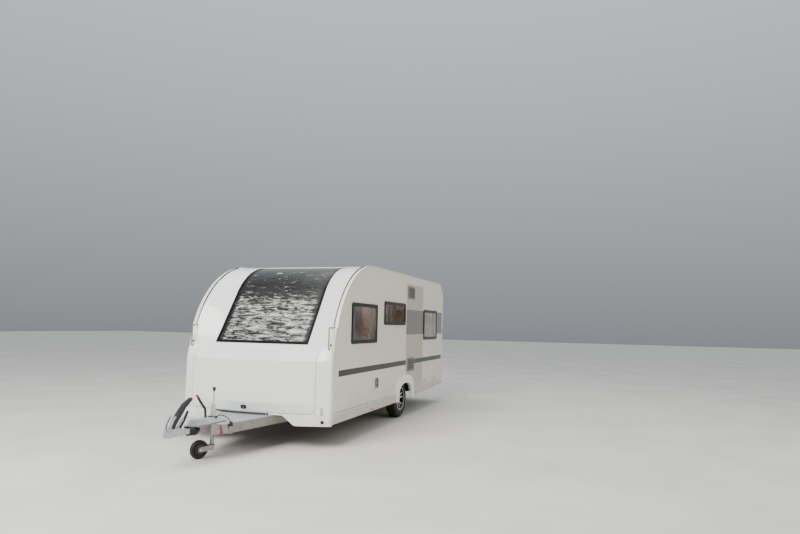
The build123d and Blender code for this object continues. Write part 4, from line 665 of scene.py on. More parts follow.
def repeated(name, tree_maker, finish, spots, values, body=BODY):
    """A tree's shape on each spot, given as point and direction, as one plain piece."""
    if tree_maker not in TREES:
        TREES[tree_maker] = tree_maker()
    points = bpy.data.meshes.new(name + "_points")
    points.from_pydata([tuple(spot) for spot, _ in spots], [], [])
    facing = points.attributes.new("facing", "FLOAT_VECTOR", "POINT")
    facing.data.foreach_set("vector", [c for _, way in spots for c in way])
    holder = shown(name + "_points", points)
    modifier = holder.modifiers.new("repeat", "NODES")
    modifier.node_group = TREES[tree_maker]
    values = {**values, "Material": FINISH[finish]}
    for item in TREES[tree_maker].interface.items_tree:
        if item.in_out == "INPUT" and item.name in values:
            modifier[item.identifier] = values[item.name]
    data = plain_mesh(holder)
    bpy.data.objects.remove(holder)
    data.name = name
    return put(name, data, finish, body, 30)


def plain_mesh(piece):
    """What a piece's modifiers make, as a plain mesh, and the modifiers taken off."""
    bpy.context.view_layer.update()
    graph = bpy.context.evaluated_depsgraph_get()
    data = bpy.data.meshes.new_from_object(piece.evaluated_get(graph))
    piece.modifiers.clear()
    return data


def heads(name, finish, spots, radius, height, sides=12, body=BODY):
    """Fastener heads on a list of spots, as one piece."""
    values = {"Radius": radius, "Height": height, "Sides": sides}
    return repeated(name, head_tree, finish, spots, values, body)


# Operators


CAMERA_SPOT = (9.3275, 4.5385, 1.6463)
CAMERA_YAW, CAMERA_PITCH, CAMERA_ROLL = 3.468, 0.0959, 0.02
CAMERA_LENS = 27.0
# Name, place, aim, size, power and colour. A lamp without an aim shines down inside and isn't seen itself.
LAMPS = (
    ("key", (10, -1, 9), (1.5, 0, 1), 7, 1900, "FFFDFA"),
    ("fill", (2, 12, 5), (-1, 1, 1), 8, 300, "FFF4E4"),
    ("top", (-2, 0, 11), (-1, 0, 0), 9, 330, "FFFFFF"),
    ("lounge_lamp", (0.9, 0, 2.42), None, 0.5, 8, "FFF1DC"),
    ("bed_lamp", (-2.6, 0.4, 2.42), None, 0.5, 8, "FFF1DC"),
    ("galley_lamp", (-0.7, 0.1, 2.42), None, 0.5, 8, "FFF1DC"),
)


class CARAVAN_OT_stage(bpy.types.Operator):
    """The camera's place, a pale floor and soft lights"""

    bl_idname = "caravan.stage"
    bl_label = "Stage"

    def execute(self, context):
        data = bpy.data.cameras.new("view")
        data.sensor_width, data.lens, data.clip_end = 36, CAMERA_LENS, 200
        cam = context.scene.camera = shown("view", data)
        cam.matrix_world = Matrix.Translation(CAMERA_SPOT)
        quarter = math.pi / 2
        for turn, axis in ((CAMERA_YAW - quarter, "Z"), (CAMERA_PITCH + quarter, "X"), (CAMERA_ROLL, "Z")):
            cam.matrix_world = cam.matrix_world @ Matrix.Rotation(turn, 4, axis)

        # Trowelled concrete, pale and dull, shaded in wide soft patches.
        made, tree, shader, spot = surface("pale_floor", "D9D7D2", 0.85)
        shade = {"data_type": "RGBA", 0: patches(tree, spot, 0.8), 6: rgb("DBD9D4"), 7: rgb("CFCDC7")}
        add(tree, MIX, shade, 2, shader.inputs["Base Color"])
        mesh = bpy.data.meshes.new("floor_stage")
        mesh.from_pydata([(-60, -60, 0), (60, -60, 0), (60, 60, 0), (-60, 60, 0)], [], [(0, 1, 2, 3)])
        mesh.materials.append(made)
        shown("floor_stage", mesh)

        world = context.scene.world = bpy.data.worlds.new("studio")
        world.use_nodes = True
        tree = world.node_tree
        ground = tree.nodes["Background"]
        whole = add(tree, "ShaderNodeTexCoord", out="Generated")
        height = add(tree, "ShaderNodeSeparateXYZ", {0: whole}, "Z")
        rise = add(tree, RANGE, {"Value": height, "From Min": -0.1, "From Max": 0.55}, 0)
        plain = add(tree, MIX, {"data_type": "RGBA", 0: rise, 6: rgb("82878D"), 7: rgb("EEF3F8")}, 2)
        # Uneven light and dark all round, which only the glossy surfaces show.
        broken = patches(tree, whole, 9.0, 1.0, 0.42, 0.54, 6.0)
        uneven = add(tree, MIX, {"data_type": "RGBA", 0: broken, 6: rgb("34382F"), 7: rgb("FAFBF9")}, 2)
        near = {"Value": height, "From Min": 0.22, "From Max": 0.45, "To Min": 1.0, "To Max": 0.0}
        near = add(tree, RANGE, near, 0)
        glossy = add(tree, "ShaderNodeLightPath", out="Is Glossy Ray")
        seen = add(tree, MATH, {"operation": "MULTIPLY", 0: near, 1: glossy}, 0)
        add(tree, MIX, {"data_type": "RGBA", 0: seen, 6: plain, 7: uneven}, 2, ground.inputs[0])
        ground.inputs[1].default_value = 0.85
        for name, spot, aim, size, power, tint in LAMPS:
            lamp = bpy.data.lights.new(name, "AREA")
            lamp.size, lamp.energy, lamp.color = size, power, rgb(tint)[:3]
            made = shown(name, lamp)
            made.location = spot
            if aim:
                made.rotation_euler = (Vector(aim) - Vector(spot)).to_track_quat("-Z", "Y").to_euler()
            else:
                made.visible_camera = made.visible_glossy = made.visible_transmission = False
        return {"FINISHED"}


CABLE_ROUTE = [
    (2.986, 0.066, 0.477),
    (2.975, 0.084, 0.5),
    (2.97, 0.114, 0.512),
    (2.972, 0.156, 0.51),
    (2.98, 0.204, 0.5),
    (2.991, 0.252, 0.482),
    (3.000, 0.284, 0.45),
]


class CARAVAN_OT_tow_cable(bpy.types.Operator):
    """The lighting cable from the hood to its parked plug"""

    bl_idname = "caravan.tow_cable"
    bl_label = "Towing cable"

    def execute(self, context):
        data = bpy.data.curves.new("lighting_cable", "CURVE")
        data.dimensions = "3D"
        data.bevel_depth = context.scene.caravan_sizes.cable_radius
        data.bevel_resolution = 4
        data.resolution_u = 16
        data.use_fill_caps = True
        spline = data.splines.new("NURBS")
        spline.points.add(len(CABLE_ROUTE) - 1)
        for point, spot in zip(spline.points, CABLE_ROUTE):
            point.co = (*spot, 1)
        spline.order_u = 3
        spline.use_endpoint_u = True
        made = shown("lighting_cable", data)
        data.materials.append(FINISH["rubber"])
        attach(made, BODY)
        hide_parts("tow_cable")
        start, way = CABLE_ROUTE[0], Vector(CABLE_ROUTE[1]) - Vector(CABLE_ROUTE[0])
        relief = [(0.0125, -0.004), (0.0125, 0.003), (0.0105, 0.005), (0.0072, 0.02)]
        relief = Shape().stud(at(start, way), 20, 0.0002, *relief).piece("cable_relief", "rubber")
        return {"FINISHED"}


SOLIDS = {
    "sheet": "side_wall_left side_wall_right roof_panel service_hatch toilet_hatch door",
    "shell": "front_panel front_lower_panel gas_locker_lid rear_bumper wheel_arch_trims "
    "rear_panel door_frame awning_rails",
    "domes": "roof_lights",
    "grey": "grab_handles fridge_vents heater_flue",
    "screen": "front_window_pane",
    "pane": "side_window_panes door_window",
    "rim": "front_window_frame side_window_frames",
    "zinc": "chassis_rails drawbar axle jockey_clamp jockey_inner_tube jockey_fork steady_brackets "
    "steady_front_left steady_front_right steady_rear_left steady_rear_right overrun_housing",
    "sill": "side_skirts",
    "tyre": "tyre_left tyre_right",
    "alloy": "rim_left rim_right",
    "iron": "drum_left drum_right",
    "bright": "coupling_head overrun_shaft",
    "tube": "jockey_outer_tube",
    "lever": "handbrake_lever",
    "plate": "drawbar_cover",
    "black": "gas_locker_tub coupling_lever tow_plug wheel_boxes",
    "rubber": "bellows tow_cable jockey_wheel",
    "red_lens": "rear_lamps",
    "amber_lens": "marker_lamps",
    "wood": "furniture",
    "ply": "floor",
    "cloth": "upholstery",
}


class CARAVAN_OT_finishes(bpy.types.Operator):
    """Every carried-over solid in the finish of the real piece"""

    bl_idname = "caravan.finishes"
    bl_label = "Finishes of the solids"

    def execute(self, context):
        for finish, names in SOLIDS.items():
            for name in names.split():
                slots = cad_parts[name].data.materials
                slots.clear()
                slots.append(FINISH[finish])
        return {"FINISHED"}


# One wall of a tyre from its bead to its shoulder: radius, and place across it.
TYRE_WALL = (
    *((0.19, -0.073), (0.196, -0.081), (0.206, -0.084), (0.214, -0.0838), (0.2155, -0.0865)),
    *((0.228, -0.0915), (0.243, -0.0945), (0.259, -0.0955), (0.2605, -0.0968), (0.266, -0.0968)),
    *((0.2675, -0.0955), (0.282, -0.0935), (0.297, -0.0885), (0.299, -0.0895), (0.303, -0.088)),
    (0.309, -0.082),
)
# Rows of tread blocks: place across the tyre, width, lean, and how far the shoulder lies lower.
TREAD_ROWS = (
    (-0.056, 0.036, 0.1, 0.0025),
    (-0.0175, 0.025, -0.22, 0.0),
    (0.0175, 0.025, -0.22, 0.0),
    (0.056, 0.036, 0.1, 0.0025),
)


class CARAVAN_OT_tyres(bpy.types.Operator):
    """Road tyres with moulded walls and four rows of tread blocks"""

    bl_idname = "caravan.tyres"
    bl_label = "Road tyres"

    def execute(self, context):
        depth, count = context.scene.caravan_sizes.tread_depth, context.scene.caravan_sizes.tread_blocks
        base = TYRE_R - 0.0005 - depth
        wall = [*TYRE_WALL, (base - 0.002, -0.076), (base, -0.07)]
        profile = wall + [(r, -y) for r, y in reversed(wall)]
        long = 2 * math.pi * TYRE_R / count - 0.005
        for name, side in SIDES:
            body = f"wheel_{name}"
            spin = at((WHEEL_X, side * WHEEL_Y, WHEEL_Z), Y, X)
            made = Shape().turned(profile, spin, 96).piece(f"road_tyre_{name}", "tyre", body)
            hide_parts(f"tyre_{name}")
            for number, (across, wide, lean, drop) in enumerate(TREAD_ROWS):
                middle, spots = Vector((WHEEL_X, side * WHEEL_Y + across, WHEEL_Z)), []
                for i in range(count):
                    turn = 2 * math.pi * (i + 0.5 * (number % 2)) / count
                    out = Vector((math.cos(turn), 0, math.sin(turn)))
                    spots.append((middle + out * (base + depth / 2 - 0.001 - drop), out))
                values = {"Long": long, "Wide": wide, "Deep": depth + 0.001, "Lean": lean * side}
                repeated(f"tread_row_{name}_{number}", block_tree, "tyre", spots, values, body)
        return {"FINISHED"}


class CARAVAN_OT_wheel_trim(bpy.types.Operator):
    """Wheel bolts and the blank centre cap of each alloy wheel"""

    bl_idname = "caravan.wheel_trim"
    bl_label = "Wheel trim"

    def execute(self, context):
        for name, side in SIDES:
            body, out = f"wheel_{name}", Y * side
            ring = arc((WHEEL_X, WHEEL_Z), 0.048, 126, 486, 5)[:-1]
            spots = [((x, side * (WHEEL_Y + 0.047), z), out) for x, z in ring]
            radius = context.scene.caravan_sizes.bolt_radius
            heads(f"wheel_bolts_{name}", "bright", spots, radius, 0.009, 6, body)
            hub = at((WHEEL_X, side * (WHEEL_Y + 0.054), WHEEL_Z), out)
            cap = [(0.0285, -0.004), (0.0285, -0.001), (0.024, 0.002), (0.016, 0.004)]
            Shape().stud(hub, 32, 0.0005, *cap).piece(f"centre_cap_{name}", "black", body)
        return {"FINISHED"}


class CARAVAN_OT_seals(bpy.types.Operator):
    """Rubber seals in the gaps of the lid, the door and the hatches, and beads round the panes; the lid's
    seal also stands in for its gap's shade
    """

    bl_idname = "caravan.seals"
    bl_label = "Seals"

    def execute(self, context):
        nose = skin_of("front_lower_panel")
        half, low, corner = 0.9575, 0.4525, 0.0925
        # Each point of the lid's opening, and the way out of it there.
        edge = [(half, z, 1, 0) for z in (1.255, 1.14, 1.0, 0.86, 0.74, 0.64, 0.56)]
        for y, z in arc((half - corner, low + corner), corner, 0, -90, 6):
            edge.append((y, z, (y - half + corner) / corner, (z - low - corner) / corner))
        edge += [(y / 20, low, 0, -1) for y in range(16, -1, -1)]
        edge += [(-y, z, -a, b) for y, z, a, b in edge[-2::-1]]
        # The lid's seal lies black and flush in its gap: partly the real seal, partly painted shade of the
        # gap.
        path = [(touch(nose, (3, y + a * 0.006, z + b * 0.006))[0].x - 0.0012, y, z) for y, z, a, b in edge]
        Shape().bar(path, 0.0032, 8).piece("lid_seal_and_shade", "rubber")
        gaps = [("door", DOOR, 0.038, 0.003 - WALL_Y)]
        gaps += [(name, area, 0.022, side * (WALL_Y - 0.004)) for name, side, area in HATCHES]
        for name, area, corner, y in gaps:
            seal = Shape().bar(wall_path(grown(area, 0.0025), corner, y), 0.0022, 8, closed=True)
            seal.piece(f"{name}_gasket", "rubber")
        beads = Shape()
        for _, side, area in WINDOWS:
            beads.band(grown(area, -0.031), 0.014, 0.024, side * (WALL_Y + 0.0095), Y * side, 0.003)
        beads.band(grown(REAR_WINDOW, -0.031), 0.014, 0.024, WALL_REAR - 0.0095, -X, 0.003)
        beads.piece("pane_beads", "rim")
        bead = Shape().band(grown(DOOR_WINDOW, 0.016), 0.046, 0.026, -WALL_Y - 0.0035, -Y, 0.006)
        bead.piece("door_pane_bead", "rim", "entrance_door")
        return {"FINISHED"}


class CARAVAN_OT_window_gear(bpy.types.Operator):
    """Catches inside the opening panes, and the screen's inner trim"""

    bl_idname = "caravan.window_gear"
    bl_label = "Window catches"

    def execute(self, context):
        gear = Shape()
        for _, side, (x0, x1, z0, _) in WINDOWS:
            for x in places(x0, x1, 0.14):
                gear.plate(0.07, 0.022, 0.008, (x, side * 1.1545, z0 + 0.052), -Y * side, 0.016, 0.003)
                gear.plate(0.02, 0.04, 0.008, (x, side * 1.14, z0 + 0.058), -Y * side, 0.008, 0.002)
        for y in (-0.4, 0.4):
            gear.plate(0.07, 0.022, 0.008, (WALL_REAR - 0.004, y, REAR_WINDOW[2] + 0.052), X, 0.016, 0.003)
        gear.piece("window_catches", "black")
        screen = skin_of("front_window_pane")
        for name, side in SIDES:
            lining, sizes = [], []
            for share in (i / 14 for i in range(15)):
                spot, out = touch(screen, (3, side * 0.64, 1.405 + 0.52 * share))
                lining.append(spot - out * 0.034 - Y * side * 0.055 * (1 - share))
                sizes.append(0.05 - 0.024 * share)
            Shape().bar(lining, sizes, 12, 0.35).piece(f"screen_lining_{name}", "white")
        return {"FINISHED"}


STRIP_Z = 0.44


class CARAVAN_OT_front_trim(bpy.types.Operator):
    """Lid lock, a black bar of painted shade and a strip below it, white reflectors, crank cups and handle
    feet
    """

    bl_idname = "caravan.front_trim"
    bl_label = "Front trim"

    def execute(self, context):
        lid, nose = skin_of("gas_locker_lid"), skin_of("front_lower_panel", "front_panel")
        spot, out = touch(lid, (3, -0.02, 0.518))
        lock = Shape().plate(0.088, 0.054, 0.022, spot - out * 0.004, out, 0.012, 0.004)
        lock.plate(0.046, 0.022, 0.008, spot + out * 0.006, out, 0.007, 0.002)
        lock.piece("lid_lock", "black", "locker_lid")
        keyway = Shape().slab(circle(0.008, 20), at(spot + out * 0.012 + Y * 0.004, out), 0.0025, 0.0008)
        keyway.piece("lid_key_barrel", "bright", "locker_lid")

        strip = [touch(nose, (3, 0.34 + 0.15 * i / 13, STRIP_Z)) for i in range(14)]
        strip = Shape().bar([spot + out * 0.0005 for spot, out in strip], 0.0075, 10, 0.45)
        strip.piece("locker_strip", "aluminium")
        # Painted shade: a black rubber bar along the nose's notch stands in for the shadowed recess above
        # the step plate.
        shade_line = [touch(nose, (3, -0.52 + 0.82 * i / 20, STRIP_Z))[0] + X * 0.001 for i in range(21)]
        Shape().bar(shade_line, 0.0135, 10, 0.4).piece("notch_shade_bar", "rubber")
        knob = at(*touch(nose, (3, 0.325, STRIP_Z)))
        knob = Shape().stud(knob, 24, 0.0005, (0.015, 0.0), (0.015, 0.008), (0.012, 0.012))
        knob.piece("strip_knob", "black")

        plates, spots, cups, feet = Shape(), [], Shape(), Shape()
        # A crank cup's outside and inside, as one profile.
        cup = [(0.0172, -0.033), (0.0176, 0.004), (0.0215, 0.004), (0.0215, 0.007), (0.0168, 0.007)]
        cup += [(0.015, 0.0), (0.015, -0.03)]
        for side in (1, -1):
            spot, out = touch(nose, (3, side * 1.04, 0.487))
            plates.plate(0.036, 0.1, 0.006, spot - out * 0.003, out, 0.0065, 0.0015)
            spots += [(spot + out * 0.0042 + Z * lift, out) for lift in (-0.043, 0.043)]
            spot, _ = touch(nose, (3, side * 1.05, 0.388))
            cups.stud(at((spot.x + 0.0005, side * 1.05, 0.355), (0.94, side * 0.35, 0)), 28, 0.0, *cup)
            spot, _ = touch(nose, (3, side * 1.094, 1.355))
            cups.stud(at(spot, X), 24, 0.001, (0.013, -0.004), (0.013, 0.012), (0.009, 0.022))
            cups.bar([(1.903, side * 1.136, 1.588), (2.01, side * 1.09, 1.5855)], 0.0045, 10)
            for z in (1.295, 1.585):
                spot, _ = touch(nose, (3, side * 1.086, z))
                feet.stud(at(spot, X), 24, 0.0, (0.019, -0.004), (0.019, 0.005), (0.0145, 0.01))
        plates.piece("front_reflectors", "clear_lens")
        heads("reflector_screws", "bright", spots, 0.003, 0.0012)
        cups.piece("crank_cups", "black")
        feet.piece("front_handle_feet", "white")
        return {"FINISHED"}


# The lowest turn of the front arc that the awning rail follows, in degrees above the level.
RAIL_START = 18.5


class CARAVAN_OT_rail_lines(bpy.types.Operator):
    """Dark inserts of the awning rails and of the stepped sills, and black bars of painted shade along the
    front pillars
    """

    bl_idname = "caravan.rail_lines"
    bl_label = "Rail and sill inserts"

    def execute(self, context):
        (x, z, radius), (back_x, back_z, back_radius) = CROWN, TAIL
        nose = skin_of("front_panel")
        rails, edges, sills = Shape(), Shape(), Shape()
        inset = 0.007
        line = arc((x, z), radius - inset, RAIL_START, 90, 26)
        line += arc((back_x, back_z), back_radius - inset, 90, 180, 12)
        line += [(back_x - back_radius + inset, 1.62)]
        for _, side in SIDES:
            rails.bar([(a, side * 1.16, b) for a, b in line], 0.0033, 6, 0.55)
            # Painted shade: black bars, wider towards the top, fill the shadowed groove along each front
            # pillar.
            path, sizes = [], []
            for i in range(31):
                turn = math.radians(RAIL_START + 58 * i / 30)
                way = Vector((math.cos(turn), 0, math.sin(turn)))
                spot, _ = touch(nose, Vector((x, side * 1.104, z)) + way * 2, -way)
                path.append(spot + way * 0.002)
                sizes.append(0.0075 + 0.005 * i / 30)
            edges.bar(path, sizes, 8)
            for ends in ((-3.688, -1.583), (-0.577, 1.978)):
                sills.bar([(a, side * 1.1508, 0.4565) for a in ends], 0.0024, 6)
                sills.bar([(a, side * 1.1655, 0.4285) for a in ends], 0.002, 6, 0.6)
        rails.piece("rail_inserts", "grey")
        edges.piece("pillar_shade_bars", "rubber")
        sills.piece("sill_inserts", "grey")
        return {"FINISHED"}


class CARAVAN_OT_screws(bpy.types.Operator):
    """Screws of the arch surrounds, the sills and the door surround"""

    bl_idname = "caravan.screws"
    bl_label = "Trim screws"

    def execute(self, context):
        spots = []
        for _, side in SIDES:
            for offset, z in ((0.445, 0.345), (0.43, 0.47), (0.4, 0.59), (0.245, 0.705), (0.0, 0.722)):
                for way in (1, -1) if offset else (1,):
                    spots.append(((WHEEL_X + way * offset, side * 1.1702, z), Y * side))
            for x in [-3.55, -3.05, -2.55, -2.05, -1.66] + [-0.45 + 0.46 * i for i in range(6)]:
                spots.append(((x, side * 1.1662, 0.441), Y * side))
        heads("arch_screws", "white", spots, context.scene.caravan_sizes.screw_radius, 0.0018)
        near_hinge, near_lock = DOOR[1] + 0.02, DOOR[0] - 0.02
        spots = []
        for z in (0.62, 0.98, 1.16, 1.6, 1.84, 2.2):
            spots += [((x, -1.1562, z), -Y) for x in (near_lock, near_hinge)]
        heads("door_frame_screws", "white", spots, 0.004, 0.0015)
        return {"FINISHED"}


class CARAVAN_OT_roof_trim(bpy.types.Operator):
    """Sealant and screws round the roof hatches, and the hinge blocks of their domes"""

    bl_idname = "caravan.roof_trim"
    bl_label = "Roof trim"

    def execute(self, context):
        sealant, hinges, spots = Shape(), Shape(), []
        for x, y, across, wide in ROOF_LIGHTS:
            edge = rounded(across + 0.004, wide + 0.004, 0.042, 6)
            sealant.bar([(x + a, y + b, ROOF_Z + 0.0015) for a, b in edge], 0.0055, 8, closed=True)
            edge = rounded(across - 0.014, wide - 0.014, 0.03, 2)
            spots += [((x + a, y + b, ROOF_Z + 0.0162), Z) for a, b in edge]
            for way in (-0.3, 0.3):
                spot = (x - across / 2 + 0.016, y + wide * way, ROOF_Z + 0.015)
                hinges.slab(rounded(0.06, 0.024, 0.006), at(spot, Z, Y), 0.014, 0.003)
        sealant.piece("roof_light_sealant", "grey")
        hinges.piece("roof_light_hinges", "white")
        heads("roof_light_screws", "bright", spots, 0.0042, 0.0018)
        return {"FINISHED"}


class CARAVAN_OT_vents(bpy.types.Operator):
    """Screens behind the vent slats, catches on them, and in each heater flue opening a black disc of
    painted shade with bars across
    """

    bl_idname = "caravan.vents"
    bl_label = "Vents and flue"

    def execute(self, context):
        screens, catches, port_shade_and_bars = Shape(), Shape(), Shape()
        for low, high in ((2.128, 2.355), (0.803, 1.041)):
            screens.plate(0.352, high - low - 0.048, 0.004, (-1.39, 1.1425, (low + high) / 2), Y, 0.0085)
            for x in (-1.555, -1.225):
                catches.plate(0.024, 0.01, 0.004, (x, 1.1615, low + 0.013), Y, 0.0035, 0.001)
        screens.piece("vent_screens", "mesh")
        catches.piece("vent_catches", "grey")
        for z in (0.698, 0.762):
            # Painted shade: a black disc sits inside each flue opening, where the hole lies in shade; black
            # bars cross it.
            port_shade_and_bars.slab(circle(0.0235, 28), at((0.37, 1.1575, z), Y), 0.002)
            for lean in (-30, 30, 90):
                ends = arc((0.37, z), 0.0245, lean, lean + 180, 1)
                port_shade_and_bars.bar([(x, 1.169, height) for x, height in reversed(ends)], 0.0016, 6)
        port_shade_and_bars.piece("flue_port_shade_and_bars", "black")
        return {"FINISHED"}


class CARAVAN_OT_locks(bpy.types.Operator):
    """Locks of the hatches and of the entrance door"""

    bl_idname = "caravan.locks"
    bl_label = "Locks"

    def execute(self, context):
        for name, side, (x0, x1, z0, _) in HATCHES:
            cups, barrels, out, z = Shape(), Shape(), Y * side, z0 + 0.06
            cup = [(0.0185, 0.0), (0.0185, 0.0035), (0.0155, 0.0055)]
            for x in places(x0, x1, 0.16):
                cups.stud(at((x, side * 1.1515, z), out), 28, 0.0, *cup)
                barrels.stud(at((x, side * 1.1565, z), out), 20, 0.0002, (0.0085, 0.0), (0.0085, 0.0022))
                barrels.plate(0.0016, 0.009, 0.0006, (x, side * 1.1586, z), out, 0.0008)
            cups.piece(f"{name}_lock_cups", "black", name)
            barrels.piece(f"{name}_lock_barrels", "bright", name)
        plate = Shape().plate(0.03, 0.118, 0.014, (-0.262, -1.1675, 1.112), -Y, 0.0022, 0.0008)
        plate.piece("door_pull", "black", "entrance_door")
        barrel = Shape().stud(at((-0.262, -1.1678, 1.03), -Y), 20, 0.0002, (0.009, 0.0), (0.009, 0.002))
        barrel.piece("door_key_barrel", "bright", "entrance_door")
        return {"FINISHED"}


class CARAVAN_OT_rear_trim(bpy.types.Operator):
    """Lamp bezels, blank plate, triangle reflectors and handle feet at the back"""

    bl_idname = "caravan.rear_trim"
    bl_label = "Rear trim"

    def execute(self, context):
        bezels, feet, signs = Shape(), Shape(), Shape()
        face = BUMPER_X + 0.001
        for side in (1, -1):
            for y in (side * 0.79, side * 0.93):
                bezels.band((y - 0.067, y + 0.067, 0.415, 0.519), 0.016, 0.0085, face, -X, 0.008)
            for z in (0.9, 1.18):
                foot = at((WALL_REAR, side * 0.98, z), -X)
                feet.stud(foot, 24, 0.0, (0.02, 0.0), (0.02, 0.004), (0.014, 0.008))
            corners = [(-0.07, -0.04), (0.07, -0.04), (0.0, 0.075)]
            signs.slab(corners, at((face, side * 0.53, 0.455), -X), 0.006, 0.001)
        bezels.band((-0.177, 0.177, 2.113, 2.157), 0.012, 0.0075, WALL_REAR, -X, 0.008)
        bezels.band((-0.27, 0.27, 0.404, 0.526), 0.011, 0.01, -3.7535, -X, 0.0055)
        bezels.piece("lamp_bezels", "black")
        feet.piece("rear_handle_feet", "white")
        signs.piece("rear_reflectors", "red_lens")
        plate = Shape().plate(0.52, 0.112, 0.01, (-3.754, 0, 0.465), -X, 0.003, 0.001)
        plate.piece("rear_plate", "white")
        spots = [((-3.7572, y, 0.465), -X) for y in (-0.215, 0.215)]
        heads("plate_screws", "bright", spots, 0.0035, 0.0015)
        return {"FINISHED"}


class CARAVAN_OT_hitch_trim(bpy.types.Operator):
    """Tube gasket, red break-away hook, brake button, bolts and the brake rod"""

    bl_idname = "caravan.hitch_trim"
    bl_label = "Hitch trim"

    def execute(self, context):
        lean = at((JOCKEY_X, 0, 0.4785), (-0.0487, 0, 1))
        collar = [(0.044, -0.004), (0.059, -0.004), (0.059, 0.004), (0.054, 0.008), (0.04, 0.008)]
        collar += [(0.0335, 0.004), (0.0335, -0.002)]
        Shape().turned(collar, lean, 40, True).piece("tube_gasket", "rubber")

        hook = [(3.073, 0.194, 0.426), (3.085, 0.206, 0.404), (3.09, 0.217, 0.374), (3.089, 0.223, 0.34)]
        hook = smooth_path(hook + [(3.085, 0.228, 0.306)])
        sizes = [0.007 + 0.0045 * min(1.0, i / 8) + (0.003 if i > 16 else 0.0) for i in range(len(hook))]
        Shape().bar(hook, sizes, 12, 0.6).piece("breakaway_hook", "red")
        clip = [(3.052, 0.168, 0.309), (3.052, 0.168, 0.4), (3.06, 0.178, 0.43), (3.074, 0.192, 0.436)]
        clip = smooth_path(clip + [(3.082, 0.204, 0.42)])
        Shape().bar(clip, 0.0042, 10).piece("hook_clip", "bright")

        grip = Vector((0.084, 0, 0.095)).normalized()
        tip = at(Vector((3.208, -0.055, 0.76)) - grip * 0.001, grip)
        button = [(0.0105, -0.002), (0.0105, 0.003), (0.008, 0.005), (0.008, 0.012)]
        Shape().stud(tip, 24, 0.0008, *button).piece("brake_button", "red")

        spots = []
        for side in (1, -1):
            spots += [((x, side * 0.172, 0.31), Z) for x in (3.022, 3.088)]
            spots += [((x, side * 0.2465, 0.4203), Z) for x in (2.905, 2.995)]
        heads("housing_bolts", "bright", spots, 0.0085, 0.007, 6)
        spots = [((x, side * 0.0465, 0.404), Y * side) for side in (1, -1) for x in (3.478, 3.56)]
        heads("head_bolts", "bright", spots, 0.0075, 0.006, 6)

        rod = Shape().bar([(3.000, 0.0, 0.33), *((x, 0.0, 0.32) for x in (2.4, 1.2, -0.84))], 0.005, 8)
        rod.plate(0.2, 0.03, 0.006, (-0.85, 0, 0.32), X, 0.008, 0.002)
        rod.piece("brake_rod", "zinc")
        return {"FINISHED"}


class CARAVAN_OT_caster_trim(bpy.types.Operator):
    """The jockey wheel's pressed discs and pin nuts"""

    bl_idname = "caravan.caster_trim"
    bl_label = "Jockey wheel trim"

    def execute(self, context):
        hub, way = Vector((3.09954, -0.06973, 0.11)), Vector((0.422618, 0.906308, 0.0))
        profile = [(0.067, 0.0), (0.067, 0.002), (0.062, 0.0034), (0.052, 0.0016)]
        for number, side in enumerate((1, -1)):
            disc = Shape().stud(at(hub + way * side * 0.0282, way * side), 36, 0.0, *profile)
            disc.piece(f"jockey_disc_{number}", "black", "jockey_roller", "galvanised")
        spots = [(hub + way * side * 0.0482, way * side) for side in (1, -1)]
        heads("jockey_pin_nuts", "bright", spots, 0.009, 0.006, 6, "jockey_caster")
        return {"FINISHED"}


FOLDS, FOLD_DEPTH = 5, 0.0075


def folded_cloth(x0, x1, y, z0, z1):
    """A hung curtain, its folds deeper at the hem: corners, faces and its width laid flat."""
    across, down = FOLDS * 14, 24
    verts, faces = [], []
    for j in range(down + 1):
        t = j / down
        for i in range(across + 1):
            s = i / across
            turn = s * FOLDS * 2 * math.pi
            fold = FOLD_DEPTH * (math.sin(turn) + 0.25 * math.sin(2 * turn + t * 2.0)) * (0.3 + 0.7 * t)
            sway = 0.004 * math.sin(t * 5 + s * 9) * t
            verts.append(Vector((x0 + (x1 - x0) * s + sway, y + fold, z1 + (z0 - z1) * t)))
            if i < across and j < down:
                a = len(verts) - 1
                faces.append((a, a + 1, a + across + 2, a + across + 1))
    row = verts[(down // 2) * (across + 1) : (down // 2 + 1) * (across + 1)]
    return verts, faces, sum((q - p).length for p, q in zip(row, row[1:]))


class CARAVAN_OT_curtains(bpy.types.Operator):
    """Curtains hung inside the windows, and the blinds' cassettes over them"""

    bl_idname = "caravan.curtains"
    bl_label = "Curtains and blinds"

    def execute(self, context):
        cassettes = Shape()
        for name, side, (x0, x1, z0, z1) in WINDOWS:
            if x1 - x0 < 0.5:
                continue
            wide = min(0.2, (x1 - x0) * 0.2)
            spot = ((x0 + x1) / 2, side * 1.1185, z1 + 0.045)
            cassettes.plate(x1 - x0 + 0.04, 0.05, 0.012, spot, -Y * side, 0.028, 0.004)
            if name == "kitchen":
                continue
            low, high = z0 + 0.008 if name.startswith("lounge") else z0 - 0.05, z1 + 0.018
            for number, (a, b) in enumerate(((x0 + 0.01, x0 + wide), (x1 - wide, x1 - 0.01))):
                verts, faces, flat = folded_cloth(a, b, side * 1.102, low, high)
                data = bpy.data.meshes.new(f"curtain_{name}_{number}")
                data.from_pydata(verts, [], faces)
                made = put(f"curtain_{name}_{number}", data, "curtain", smooth=0)
        cassettes.piece("blind_cassettes", "white")
        return {"FINISHED"}


# Each cushion's room between the solids: along, across and up the body.
CUSHIONS = [
    (f"{kind}_{name}_{end}", (x0, x1, *sorted((side * near, side * far)), 0.822, top))
    for name, side in SIDES
    for kind, near, far, top, ahead in (
        ("seat", 0.562, 0.978, 0.958, 1.788),
        ("back", 0.986, 1.086, 1.298, 1.74),
    )
    for end, x0, x1 in (("front", 1.108, ahead), ("rear", 0.422, 1.102))
]
CUSHIONS.append(("mattress", (-3.628, -1.712, -0.048, 1.112, 0.822, 0.968)))
PAD_INSET = 0.012
PAD_FRAMES = 20
PAD_REACH = 0.022


